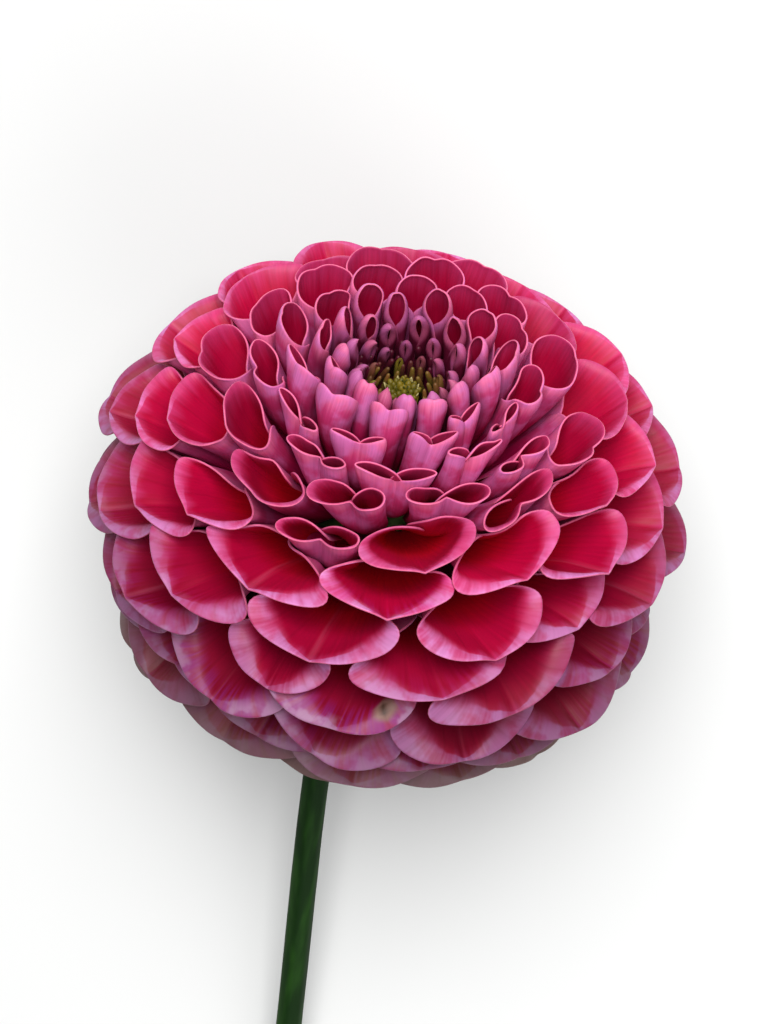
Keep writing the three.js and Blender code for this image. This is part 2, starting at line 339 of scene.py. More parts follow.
# The florets that the camera looks into, one by one.
NUDGES: dict[int, Nudge] = {
    46: Nudge(deep=0.8, pinch=0.6, notch=1.3),
    49: Nudge(deep=0.6, pinch=1.0, notch=1.8),
    54: Nudge(across=1.4, deep=0.55, pinch=1.0, notch=1.6),
    57: Nudge(across=-1.0, inward=-0.8, deep=0.6, pinch=1.1, notch=1.6),
    59: Nudge(deep=0.6, pinch=0.9, twist=-14.0, notch=1.4),
    62: Nudge(across=0.9, wide=1.0, deep=0.66, pinch=1.0, twist=4.0, hand=1, notch=1.8),
    64: Nudge(deep=0.6, pinch=1.0, notch=1.4),
    65: Nudge(across=-0.4, inward=1.8, pinch=0.2),
    67: Nudge(across=-0.3, wide=1.2, deep=0.62, pinch=1.15, notch=1.6),
    70: Nudge(inward=-1.0, deep=0.8, hand=-1),
    72: Nudge(across=-0.3, inward=0.6, wide=0.85, deep=0.8, notch=1.2),
    75: Nudge(across=-0.8, inward=0.2, deep=0.95, twist=6.0, pinch=0.9, notch=1.5, curl=0.14),
    78: Nudge(across=-0.4, inward=-1.4, pinch=0.3),
    80: Nudge(across=-1.7, inward=0.9, wide=0.78, twist=-5.0, notch=1.7),
    83: Nudge(across=-0.4, inward=0.1, deep=0.8, twist=-10.0, hand=-1, curl=0.16),
    85: Nudge(across=0.3, inward=0.3, wide=0.85, pinch=0.4),
    88: Nudge(
        across=-1.2, inward=0.2, wide=1.02, deep=1.1, twist=-8.0, hand=-1, ripe=5.0, keel=1.7, curl=0.16,
    ),
    93: Nudge(across=0.4, inward=0.7, wide=0.84, deep=0.8, twist=-9.0, ripe=-13.0, notch=1.6),
    96: Nudge(across=-0.6, inward=1.0, twist=-14.0, hand=-1, ripe=4.0, curl=0.14),
    101: Nudge(inward=0.4, deep=0.85, twist=-2.0, wear=0.15),
    106: Nudge(across=1.1, inward=1.1, deep=0.88, twist=3.0, streak=0.5),
    109: Nudge(inward=-0.6, wide=0.96, twist=-6.0),
    114: Nudge(across=-1.2, inward=0.1, wide=1.0, twist=-1.0, streak=0.45),
    122: Nudge(across=0.2, inward=0.4, wide=1.1, deep=0.85, twist=-8.0, wear=0.1),
    127: Nudge(across=0.4, wide=0.6, deep=0.8),
    130: Nudge(across=-3.0, inward=-0.2, wide=1.05, deep=0.8, twist=-8.0),
    135: Nudge(across=-2.6, inward=1.2, wide=0.78, twist=4.0, wear=0.6),
    140: Nudge(across=0.6, wide=0.85, wear=0.5),
    143: Nudge(across=-1.6, inward=-1.0, wide=0.95, streak=0.15),
    148: Nudge(across=1.8, inward=0.2, wide=0.9, twist=24.0, wear=0.3),
}


def stage_at(number: float) -> Stage:
    """Blend the two stages on either side of a floret.

    Args:
        number: places out from the centre.

    Returns:
        The stage of that floret.
    """
    for low, high in zip(STAGES, STAGES[1:]):
        if low.number <= number <= high.number:
            share = (number - low.number) / (high.number - low.number)
            values = (mix(getattr(low, f.name), getattr(high, f.name), share) for f in fields(Stage))
            return Stage(*values)
    raise ValueError(f"no stage for floret {number}")


@dataclass
class Room:
    """The space that a floret's neighbours leave it, as an outline round its middle."""

    neighbours: list[tuple[float, float]]
    aspect: float  # how much wider than deep the outline tends to be
    firmness: float = 5.0  # the higher, the more the outline follows its flat sides
    evenness: float = 0.36  # how much of the other side's outline is mixed in: 0.5 for a true mirror
    growth: float = 1.03  # makes up for the corners that a low firmness rounds off

    def point(self, turn: float) -> tuple[float, float]:
        """Return a point of the outline.

        Args:
            turn: the direction in radians, 0 away from the head's axis.

        Returns:
            The point across the head and towards its axis, in mm.
        """
        reach = mix(self.reach(turn), self.reach(-turn), self.evenness) * self.growth
        return math.sin(turn) * reach * self.aspect, -math.cos(turn) * reach

    def reach(self, turn: float) -> float:
        """Measure the room towards one side, half way to the neighbours.

        Args:
            turn: the direction in radians, 0 away from the head's axis.

        Returns:
            The outline's distance from the middle, before it is widened.
        """
        across, up = math.sin(turn), -math.cos(turn)
        total = 0.0
        for x, y in self.neighbours:
            narrow = x / self.aspect
            closeness = 2.0 * (narrow * across + y * up) / (narrow * narrow + y * y)
            if closeness > 0.0:
                total += closeness**self.firmness
        return total ** (-1.0 / self.firmness)


@dataclass(frozen=True)
class Habit:
    """How every floret rolls up. Turns are radians round the tube, 0 at the midrib."""

    lap_start: float = 0.68  # how far across the margin that is rolled inside begins to draw in
    meeting: Span = (0.96, 1.04)  # between these rolls the margins come to lap
    lap_tuck: float = 0.4  # how far a lapped margin is drawn in, as a share of its radius
    free_tuck: float = 0.3  # how far the same margin is drawn in where the two don't meet
    squareness: float = 3.0  # of the blade's end: the higher, the shorter its rounded corners
    notch_width: Span = (0.11, 0.22)  # of an open and of a pinched floret, as a share across
    pinch_limit: float = 0.62  # the most that a midrib is pressed in, as a share of the depth
    crowding: float = 1.6  # how much closer the rows of faces lie towards the lip
    foot_girth: float = 0.16  # of the room's
    widest: float = 1.1  # where the tube stops widening, as a share of its length
    flare: float = 0.65  # how soon it widens: 1 for a straight cone
    dome: float = 0.55  # length of a bud's rounded tip, as a share of its depth
    relief: float = 6.0  # how far below the lip its relief runs out, in mm
    keel_width: float = 0.25
    pinch_width: float = 0.45
    bulge: float = 0.42  # how far the wall opposite a pinched midrib gives way
    bulge_width: float = 0.6
    waves: tuple[Point, ...] = ((2.0, 2.2, 1.5), (0.6, 7.0, 3.0))  # strength, closeness across and along
    wing_start: float = 0.95  # where the pale band has its full width
    wing_end: Span = (1.1, 2.4)  # where it narrows again
    band_widths: Span = (0.12, 1.15)  # at the midrib and on the wings, as shares of its width
    fold_reach: float = 1.25  # how far a folded band stands out, as a share of its width
    fold_softness: float = 0.25  # how gently the fold begins


# What every point of a blade carries, in the order in which Floret.traits works it out.
BLADE_TRAITS = (
    Trait.LIP, Trait.EDGE, Trait.GROWTH, Trait.TINT, Trait.WEAR, Trait.STREAK, Trait.SPOT, Trait.FADE,
)


@dataclass
class Floret:
    """One ray floret: a blade rolled into a tube from its foot up, open at its mouth."""

    number: int
    spiral: Spiral
    rng: random.Random
    habit: Habit = Habit()
    thickness: float = 0.21
    grids: tuple[tuple[float, tuple[int, int]], ...] = (  # its faces, if its number is below the first
        (30, (12, 9)), (60, (20, 13)), (math.inf, (30, 18)),
    )
    clearance: float = 0.31  # between two blades' sheets
    settling_reach: float = 2.5  # how far a blade looks for another to be pressed against
    settling_slope: float = 0.6  # a point further aside of the other blade than this is left alone
    settling_softness: float = 0.3
    settling_rounds: int = 3
    steps: tuple[int, ...] = (1, 2, 3, 5, 8, 13, 21, 34)  # to the neighbours in the spiral
    creased_half: float = 0.1  # how far along, from -1 to 1, the midrib is a sharp crease
    crease: float = 0.8  # how sharp it is
    crowding_aside: float = 1.25  # how much closer the columns of faces lie at the midrib
    side_band: float = 0.62  # width of the pale band away from the front of the head, as a share
    # Painted shade: the pale band on the sheltered wing of the side florets is darkened into the
    # crimson.
    fade: float = 0.8  # how far it is lost on the sheltered wing of a floret at the head's sides
    old_wing_shade: float = 0.5  # how much less that is for an old floret
    blemished: int = 135
    blemish: Span = (0.26, 1.6)  # its place across, and its distance from the lip
    blemish_radius: float = 1.8
    half_width: float = 14.0  # of the blemished blade

    def __post_init__(self) -> None:
        """Work out the floret's middle line, its room and its own small differences."""
        turn = self.spiral.azimuth(self.number)
        self.outward = Vector((math.cos(turn), math.sin(turn), 0.0))
        self.side = Vector((-math.sin(turn), math.cos(turn), 0.0))
        self.up = Vector((0.0, 0.0, 1.0))
        self.nudge = NUDGES.get(self.number) or self.chance()
        self.stage = stage_at(self.number + self.nudge.ripe)
        self.growth = self.number / self.spiral.count
        aim = math.radians(self.stage.aim + self.nudge.aim)
        self.heading = Vector((math.sin(aim), math.cos(aim)))
        self.foot = Vector(self.spiral.foot_profile(self.number))
        surface = Vector(self.spiral.mouth_profile(self.number))
        self.mouth = surface + surface.normalized() * (self.stage.rise + self.nudge.proud)
        self.mouth += Vector((-self.heading.y, self.heading.x)) * self.nudge.inward
        self.elbow = self.mouth - self.heading * (self.mouth - self.foot).length * 0.5
        self.length = self.measure()
        self.room = self.find_room()
        self.hand = self.nudge.hand or self.rng.choice((-1, 1))
        self.twist = math.radians(-self.nudge.twist)
        self.depth = (self.room.point(math.pi)[1] - self.room.point(0.0)[1]) * self.nudge.deep
        self.pinched = min(self.habit.pinch_limit, self.stage.pinch * self.nudge.pinch)
        self.tint = self.rng.uniform(-1.0, 1.0)
        self.fade -= smooth(0.62, 0.85, self.growth) * self.old_wing_shade
        self.band = self.stage.band * mix(self.side_band, 1.0, smooth(-0.1, 0.8, -self.outward.x))
        self.seed = self.rng.uniform(0.0, 100.0)

    def chance(self) -> Nudge:
        """Draw the small differences of a floret that isn't in NUDGES.

        Returns:
            A nudge that grows from the centre outwards. The florets behind the crater are the ones
            with the roundest mouths.
        """
        ripe = smooth(20.0, 90.0, self.number)
        rolled = smooth(-0.5, 0.4, self.outward.x) * (1.0 - smooth(95.0, 125.0, self.number))
        return Nudge(
            across=mix(0.3, 0.6, ripe) * self.rng.uniform(-1.0, 1.0),
            inward=mix(0.3, 0.6, ripe) * self.rng.uniform(-1.0, 1.0),
            wide=1.0 + ripe * self.rng.uniform(-0.12, 0.05),
            deep=1.0 + smooth(30.0, 50.0, self.number) * self.rng.uniform(-0.35, 0.05),
            twist=mix(30.0, 9.0, ripe) * self.rng.uniform(-1.0, 1.0),
            aim=mix(9.0, 4.0, ripe) * self.rng.uniform(-1.0, 1.0),
            ripe=mix(1.0, 5.0, ripe) * self.rng.uniform(-1.0, 1.0),
            pinch=max(0.0, self.rng.uniform(-0.25, 0.7)) * mix(1.0, 0.3, rolled),
            proud=smooth(85.0, 120.0, self.number) * self.rng.uniform(-1.4, 0.8),
            notch=self.rng.uniform(0.6, 1.5) * mix(1.0, 0.3, rolled),
            curl=self.rng.uniform(0.02, 0.16) + 0.08 * rolled,
            wear=smooth(100.0, 150.0, self.number) * self.rng.uniform(0.0, 0.35),
            streak=self.rng.choice((0.0, 0.0, 0.6)) * smooth(90.0, 110.0, self.number),
        )

    def measure(self) -> float:
        """Return the length of the middle line from foot to mouth."""
        points = [self.middle_line(i / 16)[0] for i in range(17)]
        return sum((b - a).length for a, b in zip(points, points[1:]))

    def middle_line(self, share: float) -> tuple[Vector, Vector]:
        """Read the floret's middle line in the upright plane through the head's axis.

        Args:
            share: how far along it, 0 at the foot and 1 at the mouth; past 1 it runs straight on.

        Returns:
            The point and the unit direction there, as distance from the axis and height.
        """
        if share > 1.0:
            return self.mouth + self.heading * (share - 1.0) * self.length, self.heading
        rest = 1.0 - share
        point = self.foot * rest * rest + self.elbow * 2.0 * rest * share + self.mouth * share * share
        slope = (self.elbow - self.foot) * rest + (self.mouth - self.elbow) * share
        return point, slope.normalized()

    def find_room(self) -> Room:
        """Look at the neighbours in the spiral.

        Returns:
            The outline that they leave round this floret's mouth.
        """
        here = self.spiral.point(self.number, self.mouth)
        inward = self.outward * -self.heading.y + self.up * self.heading.x
        neighbours = []
        for step in self.steps:
            for other in (self.number - step, self.number + step):
                away = self.spiral.point(other, self.spiral.mouth_profile(other)) - here
                neighbours.append((away.dot(self.side), away.dot(inward)))
        return Room(neighbours, self.stage.aspect)

    def place(self, across: float, along: float) -> tuple[Vector, float, float]:
        """Place one point of the blade.

        Args:
            across: -1 at one margin, 0 at the midrib, 1 at the other margin.
            along: 0 at the foot, 1 at the lip.

        Returns:
            The point in the head's frame, its distance from the lip in mm, and the same in widths
            of the pale band.
        """
        habit, stage = self.habit, self.stage
        rolled_in = smooth(habit.lap_start, 1.0, across * self.hand)
        lapped = rolled_in * smooth(*habit.meeting, stage.wrap)
        tuck = 1.0 - habit.lap_tuck * lapped - habit.free_tuck * rolled_in * (1.0 - lapped)
        turn = across * math.pi * (stage.wrap + self.nudge.curl * lapped)
        full = self.blade_length(across, turn)
        height = full * (1.0 - (1.0 - along) ** habit.crowding)
        from_lip = full - height
        share = height / self.length
        press = smooth(0.0, 1.0, 1.0 - from_lip / habit.relief)

        x, y = self.ring(turn, along, share, tuck, from_lip)
        radial = Vector((x, y)).normalized()
        y = self.pressed(y, turn, press)
        out = self.ruffle(across, along) * stage.ruffle * press
        band, reach, bend = self.lip_fold(turn, from_lip)
        out += reach * math.sin(bend)
        x, y = x + radial.x * out, y + radial.y * out

        turned = Matrix.Rotation(self.twist * press, 2) @ Vector((x, y))
        point, heading = self.middle_line(share - reach * (1.0 - math.cos(bend)) / self.length)
        towards_axis = Vector((-heading.y, heading.x))
        flat = point + towards_axis * turned.y
        drift = self.nudge.across * share * share
        place = self.outward * flat.x + self.up * flat.y + self.side * (turned.x + drift)
        return place, from_lip, from_lip / band

    def ruffle(self, across: float, along: float) -> float:
        """Wave the blade with long waves and short ripples.

        Args:
            across: -1 at one margin, 0 at the midrib, 1 at the other margin.
            along: 0 at the foot, 1 at the lip.

        Returns:
            How far the blade stands out there, as a share of its stage's ruffle.
        """
        height = 0.0
        for strength, closeness, lengthwise in self.habit.waves:
            place = Vector((across * closeness, self.seed, along * lengthwise))
            height += noise.noise(place) * strength
        return height

    def blade_length(self, across: float, turn: float) -> float:
        """Measure the blade, slanted, rounded off at its margins and notched at its midrib.

        Args:
            across: -1 at one margin, 0 at the midrib, 1 at the other margin.
            turn: the same as an angle round the tube.

        Returns:
            Its length from the foot to the lip along that line, in mm.
        """
        habit, stage = self.habit, self.stage
        lead = stage.slant * self.depth * 0.5
        square = habit.squareness
        rounded = stage.corner * (1.0 - (1.0 - abs(across) ** square) ** (1.0 / square))
        notch = mix(0.4, 1.0, self.nudge.pinch) * stage.notch * self.nudge.notch
        notch *= math.exp(-abs(across) / mix(*habit.notch_width, smooth(0.1, 0.4, self.pinched)))
        return self.length + lead * math.cos(min(math.pi, abs(turn))) - rounded - notch

    def ring(
        self, turn: float, along: float, share: float, tuck: float, from_lip: float
    ) -> tuple[float, float]:
        """Find a point of the tube's cross-section, before its lip is pressed and folded.

        The tube widens from its foot like a cone, and closes or opens again at its mouth.

        Args:
            turn: the direction round the tube.
            along: 0 at the foot, 1 at the lip.
            share: the height as a share of the middle line.
            tuck: how far the margin is drawn in.
            from_lip: distance from the lip, in mm.

        Returns:
            The point across the head and towards its axis, in mm.
        """
        habit, stage = self.habit, self.stage
        x, y = self.room.point(turn)
        y *= stage.lid if y > 0.0 else 1.0
        girth = mix(habit.foot_girth, 1.0, min(habit.widest, share) ** habit.flare) * stage.fill * tuck
        girth *= mix(1.0, stage.mouth, smooth(0.5, 1.0, along))
        dome = min(1.0, from_lip / (self.depth * habit.dome))
        girth *= mix(1.0, math.sqrt(1.0 - (1.0 - dome) ** 2), stage.closing)
        wide = girth * mix(1.0, self.nudge.wide, share)
        deep = girth * mix(1.0, self.nudge.deep, smooth(0.4, 1.0, share))
        return x * wide, y * deep

    def pressed(self, y: float, turn: float, press: float) -> float:
        """Let the midrib stand out as a keel, or press it in and the wall opposite it out.

        Args:
            y: the point's place towards the head's axis, in mm.
            turn: its direction round the tube.
            press: how strong the relief is there.

        Returns:
            Its new place towards the axis.
        """
        habit = self.habit
        opposite = max(0.0, math.pi - abs(turn))
        y -= self.stage.keel * self.nudge.keel * press * math.exp(-abs(turn) / habit.keel_width)
        y += self.pinched * self.depth * press * math.exp(-abs(turn) / habit.pinch_width)
        y -= self.pinched * habit.bulge * self.depth * press * math.exp(-opposite / habit.bulge_width)
        return y

    def lip_fold(self, turn: float, from_lip: float) -> tuple[float, float, float]:
        """Fold the pale band along the lip outwards, on both sides of the midrib.

        Args:
            turn: the direction round the tube.
            from_lip: distance from the lip, in mm.

        Returns:
            The band's width, how far the point is carried along the fold, and the fold in radians.
        """
        habit = self.habit
        wing = min(1.0, abs(turn) / habit.wing_start) * (1.0 - smooth(*habit.wing_end, abs(turn)))
        band = self.band * mix(*habit.band_widths, wing)
        inset = max(0.0, 1.0 - from_lip / band)
        reach = band * habit.fold_reach * inset * inset / (inset + habit.fold_softness)
        return band, reach, math.radians(self.stage.fold) * mix(0.2, 1.0, wing)

    def grid_size(self) -> tuple[int, int]:
        """Return how many faces the blade has across and along."""
        return next(grid for below, grid in self.grids if self.number < below)

    def blade(self, bm: bmesh.types.BMesh) -> None:
        """Draw the blade as one open sheet, with its map and its petal attributes.

        Args:
            bm: the empty mesh to draw it in.
        """
        columns, rows = self.grid_size()
        layers = {trait: bm.verts.layers.float.new(trait.value) for trait in BLADE_TRAITS}
        crease = bm.edges.layers.float.new("crease_edge")
        petal_map = bm.loops.layers.uv.new(PETAL_MAP)
        bmesh.ops.create_grid(bm, x_segments=columns, y_segments=rows, size=1.0)
        for face in bm.faces:
            for loop in face.loops:
                loop[petal_map].uv = (loop.vert.co.x * 0.5 + 0.5, loop.vert.co.y * 0.5 + 0.5)
        for edge in bm.edges:
            on_midrib = max(abs(v.co.x) for v in edge.verts) < 0.01
            if on_midrib and min(v.co.y for v in edge.verts) > self.creased_half:
                edge[crease] = self.crease
        for vert in bm.verts:
            across = math.copysign(abs(vert.co.x) ** self.crowding_aside, vert.co.x)
            vert.co, *measures = self.place(across, vert.co.y * 0.5 + 0.5)
            for trait, value in self.traits(across, *measures).items():
                vert[layers[trait]] = value
        self.face_inwards(bm)

    def traits(self, across: float, from_lip: float, bands: float) -> dict[Trait, float]:
        """Work out what the finish has to know about one point of the blade.

        Args:
            across: -1 at one margin, 0 at the midrib, 1 at the other margin.
            from_lip: distance from the lip, in mm.
            bands: the same in widths of the pale band.

        Returns:
            The value of each of the blade's traits.
        """
        spot = 0.0
        if self.number == self.blemished:
            away = math.hypot((across - self.blemish[0]) * self.half_width, from_lip - self.blemish[1])
            spot = max(0.0, 1.0 - away / self.blemish_radius)
        nudge, fade = self.nudge, self.wing_shading(across)
        values = (from_lip, bands, self.growth, self.tint, nudge.wear, nudge.streak, spot, fade)
        return dict(zip(BLADE_TRAITS, values))

    def wing_shading(self, across: float) -> float:
        """Return how far the pale band is darkened into the crimson as painted shade: only on the wing
        away from the head's front.
        """
        sheltered = across * math.copysign(1.0, self.side.x)
        return min(1.0, abs(self.side.x) * 1.2) * smooth(-0.05, 0.3, sheltered) * self.fade

    def settle(self, bm: bmesh.types.BMesh, inner: list[BVHTree]) -> None:
        """Press the blade against the florets inside it, so that none shows through another.

        Args:
            bm: the open sheet.
            inner: the sheets of the florets that it lies against.
        """
        for _ in range(self.settling_rounds):
            moved = []
            for vert in bm.verts:
                for tree in inner:
                    near, normal, _, away = tree.find_nearest(vert.co, self.settling_reach)
                    if near is None or away < 1e-6:
                        continue
                    inside = (vert.co - near).dot(normal)
                    if inside > -self.clearance and abs(inside) > self.settling_slope * away:
                        vert.co = near - normal * self.clearance
                        moved.append(vert)
            if not moved:
                return
            bmesh.ops.smooth_vert(
                bm, verts=list(set(moved)), factor=self.settling_softness,
                use_axis_x=True, use_axis_y=True, use_axis_z=True,
            )

    def mesh(self, name: str, inner: list[BVHTree], matrix: Matrix) -> tuple[bpy.types.Mesh, BVHTree]:
        """Build the blade as a thin closed shell.

        Args:
            name: the mesh's name.
            inner: the sheets of the florets that it lies against.
            matrix: from the head's frame to the scene.

        Returns:
            The mesh, and this floret's own sheet for those outside it.
        """
        bm = bmesh.new()
        self.blade(bm)
        self.settle(bm, inner)
        bm.normal_update()
        sheet = BVHTree.FromBMesh(bm)
        thicken(bm, self.thickness)
        return finish_mesh(bm, name, matrix), sheet

    def face_inwards(self, bm: bmesh.types.BMesh) -> None:
        """Turn the open blade so that its faces look into the tube.

        Args:
            bm: the open sheet, still with its faces in rows.
        """
        bm.faces.ensure_lookup_table()
        bm.normal_update()
        columns, rows = self.grid_size()
        middle = bm.faces[columns * (rows // 2) + columns // 2]
        _, heading = self.middle_line(0.5)
        towards_axis = Vector((-heading.y, heading.x))
        inside = self.outward * towards_axis.x + self.up * towards_axis.y
        if middle.normal.dot(inside) < 0.0:
            bmesh.ops.reverse_faces(bm, faces=bm.faces)


# ---------------------------------------------------------------------------------------------
# Finishes
# ---------------------------------------------------------------------------------------------


class Signal:
    """What a node puts out, for sums that read like arithmetic."""

    def __init__(self, board: "Board", socket: bpy.types.NodeSocket) -> None:
        """Keep the output and the board that it is on."""
        self.board = board
        self.socket = socket

    def __add__(self, other: "Value") -> "Signal":
        """Add a number."""
        return self.board.maths("ADD", self, other)

    def __mul__(self, other: "Value") -> "Signal":
        """Multiply by a number."""
        return self.board.maths("MULTIPLY", self, other)

    def __sub__(self, other: "Value") -> "Signal":
        """Take a number away."""
        return self.board.maths("SUBTRACT", self, other)

    def __rsub__(self, other: "Value") -> "Signal":
        """Take this away from a number."""
        return self.board.maths("SUBTRACT", other, self)

    def __abs__(self) -> "Signal":
        """Drop the sign."""
        return self.board.maths("ABSOLUTE", self, 0.0)

    def clamped(self) -> "Signal":
        """Keep the result of the sum between 0 and 1."""
        self.socket.node.use_clamp = True
        return self

    def ease(self, low: float, high: float) -> "Signal":
        """Ease from 0 at low to 1 at high.

        Args:
            low: where the ease starts.
            high: where it ends, which may be below low.

        Returns:
            A number from 0 to 1.
        """
        inputs = {"Value": self, "From Min": low, "From Max": high}
        return self.board.add("ShaderNodeMapRange", "Result", inputs, interpolation_type="SMOOTHSTEP")

    def between(self, start: "Value", end: "Value") -> "Signal":
        """Read this as a share of the way from one number to another.

        Args:
            start: the number at 0.
            end: the number at 1.

        Returns:
            The number in between.
        """
        share, first, second, result = NUMBER_MIX
        inputs = {share: self, first: start, second: end}
        return self.board.add("ShaderNodeMix", result, inputs, data_type="FLOAT")


Value = Signal | float | Colour

# The sockets of a Mix node: its share, first and second input, and its result.
NUMBER_MIX = (0, 2, 3, 0)
COLOUR_MIX = (0, 6, 7, 2)


class Board:
    """A short way to lay out the nodes of one material."""

    def __init__(self, name: str) -> None:
        """Start a material with one plain shader.

        Args:
            name: the material's name.
        """
        self.material = bpy.data.materials.new(name)
        self.material.use_nodes = True
        self.tree = self.material.node_tree
        self.shader = self.tree.nodes["Principled BSDF"]

    def add(
        self, kind: str, output: str | int, inputs: dict[str | int, Value], **settings: object
    ) -> Signal:
        """Add a node.

        Args:
            kind: its type.
            output: the output to read.
            inputs: what feeds its inputs.
            settings: its plain properties.

        Returns:
            The output.
        """
        node = self.tree.nodes.new(kind)
        for key, value in settings.items():
            setattr(node, key, value)
        for key, value in inputs.items():
            self.plug(node.inputs[key], value)
        return Signal(self, node.outputs[output])

    def plug(self, socket: bpy.types.NodeSocket, value: Value) -> None:
        """Feed a socket.

        Args:
            socket: the input.
            value: another node's output, a number, a colour or a scale along each axis.
        """
        if isinstance(value, Signal):
            self.tree.links.new(value.socket, socket)
        elif socket.type == "RGBA":
            socket.default_value = (*value, 1.0)
        else:
            socket.default_value = value

    def trait(self, trait: Trait) -> Signal:
        """Read a number that the mesh carries."""
        return self.add("ShaderNodeAttribute", "Fac", {}, attribute_name=trait.value)

    def place(self) -> Signal:
        """Read where on the flower a point is."""
        return self.add("ShaderNodeTexCoord", "Object", {})

    def maths(self, operation: str, first: Value, second: Value) -> Signal:
        """Work out a sum, product or other operation on two numbers."""
        return self.add("ShaderNodeMath", 0, {0: first, 1: second}, operation=operation)

    def blend(self, share: Signal, start: Value, end: Value) -> Signal:
        """Mix two colours.

        Args:
            share: how much of the second.
            start: the first colour.
            end: the second colour.

        Returns:
            The mixed colour.
        """
        factor, first, second, result = COLOUR_MIX
        inputs = {factor: share, first: start, second: end}
        return self.add("ShaderNodeMix", result, inputs, data_type="RGBA")

    def dimmed(self, colour: Signal, value: Signal) -> Signal:
        """Make a colour lighter or darker by a factor."""
        return self.add("ShaderNodeHueSaturation", "Color", {"Color": colour, "Value": value})

    def grain(self, vector: Signal, scale: float, detail: float) -> Signal:
        """Add a noise pattern, from 0 to 1."""
        inputs = {"Vector": vector, "Scale": scale, "Detail": detail}
        return self.add("ShaderNodeTexNoise", "Fac", inputs)

    def streaks(self, vector: Signal, scale: Point, detail: float) -> Signal:
        """Add a noise pattern that is drawn out lengthwise."""
        drawn_out = self.add("ShaderNodeMapping", "Vector", {"Vector": vector, "Scale": scale})
        return self.grain(drawn_out, 1.0, detail)

    def skin(
        self, colour: Signal, roughness: float, sheen: float, relief: Signal, strength: float
    ) -> bpy.types.Material:
        """Finish the material.

        Args:
            colour: its colour.
            roughness: of the shader.
            sheen: the shader's specular level.
            relief: the height of its fine relief.
            strength: of the relief.

        Returns:
            The material.
        """
        inputs = {"Height": relief, "Strength": strength, "Distance": 0.1 * MM}
        self.plug(self.shader.inputs["Base Color"], colour)
        self.plug(self.shader.inputs["Normal"], self.add("ShaderNodeBump", "Normal", inputs))
        self.shader.inputs["Roughness"].default_value = roughness
        self.shader.inputs["Specular IOR Level"].default_value = sheen
        return self.material


class PetalBoard(Board):
    """A board with what every part of the petal's finish reads."""

    def __init__(self) -> None:
        """Start the petal's material."""
        super().__init__("petal")
        petal_map = self.add("ShaderNodeUVMap", "UV", {}, uv_map=PETAL_MAP)
        self.streak_grain = self.streaks(petal_map, (26.0, 1.2, 1.0), 3.0)
        self.veins = self.streaks(petal_map, (70.0, 1.6, 1.0), 1.0)
        self.mottle = self.grain(self.place(), 420.0, 3.0)
        self.growth = self.trait(Trait.GROWTH)
        self.lip = self.trait(Trait.LIP)
        frayed = self.streak_grain - 0.5
        self.frayed_lip = self.lip + frayed * 3.0
        self.frayed_edge = self.trait(Trait.EDGE) + frayed * 0.6
        across = self.add("ShaderNodeSeparateXYZ", "X", {0: petal_map})
        self.aside = abs(across - 0.5)


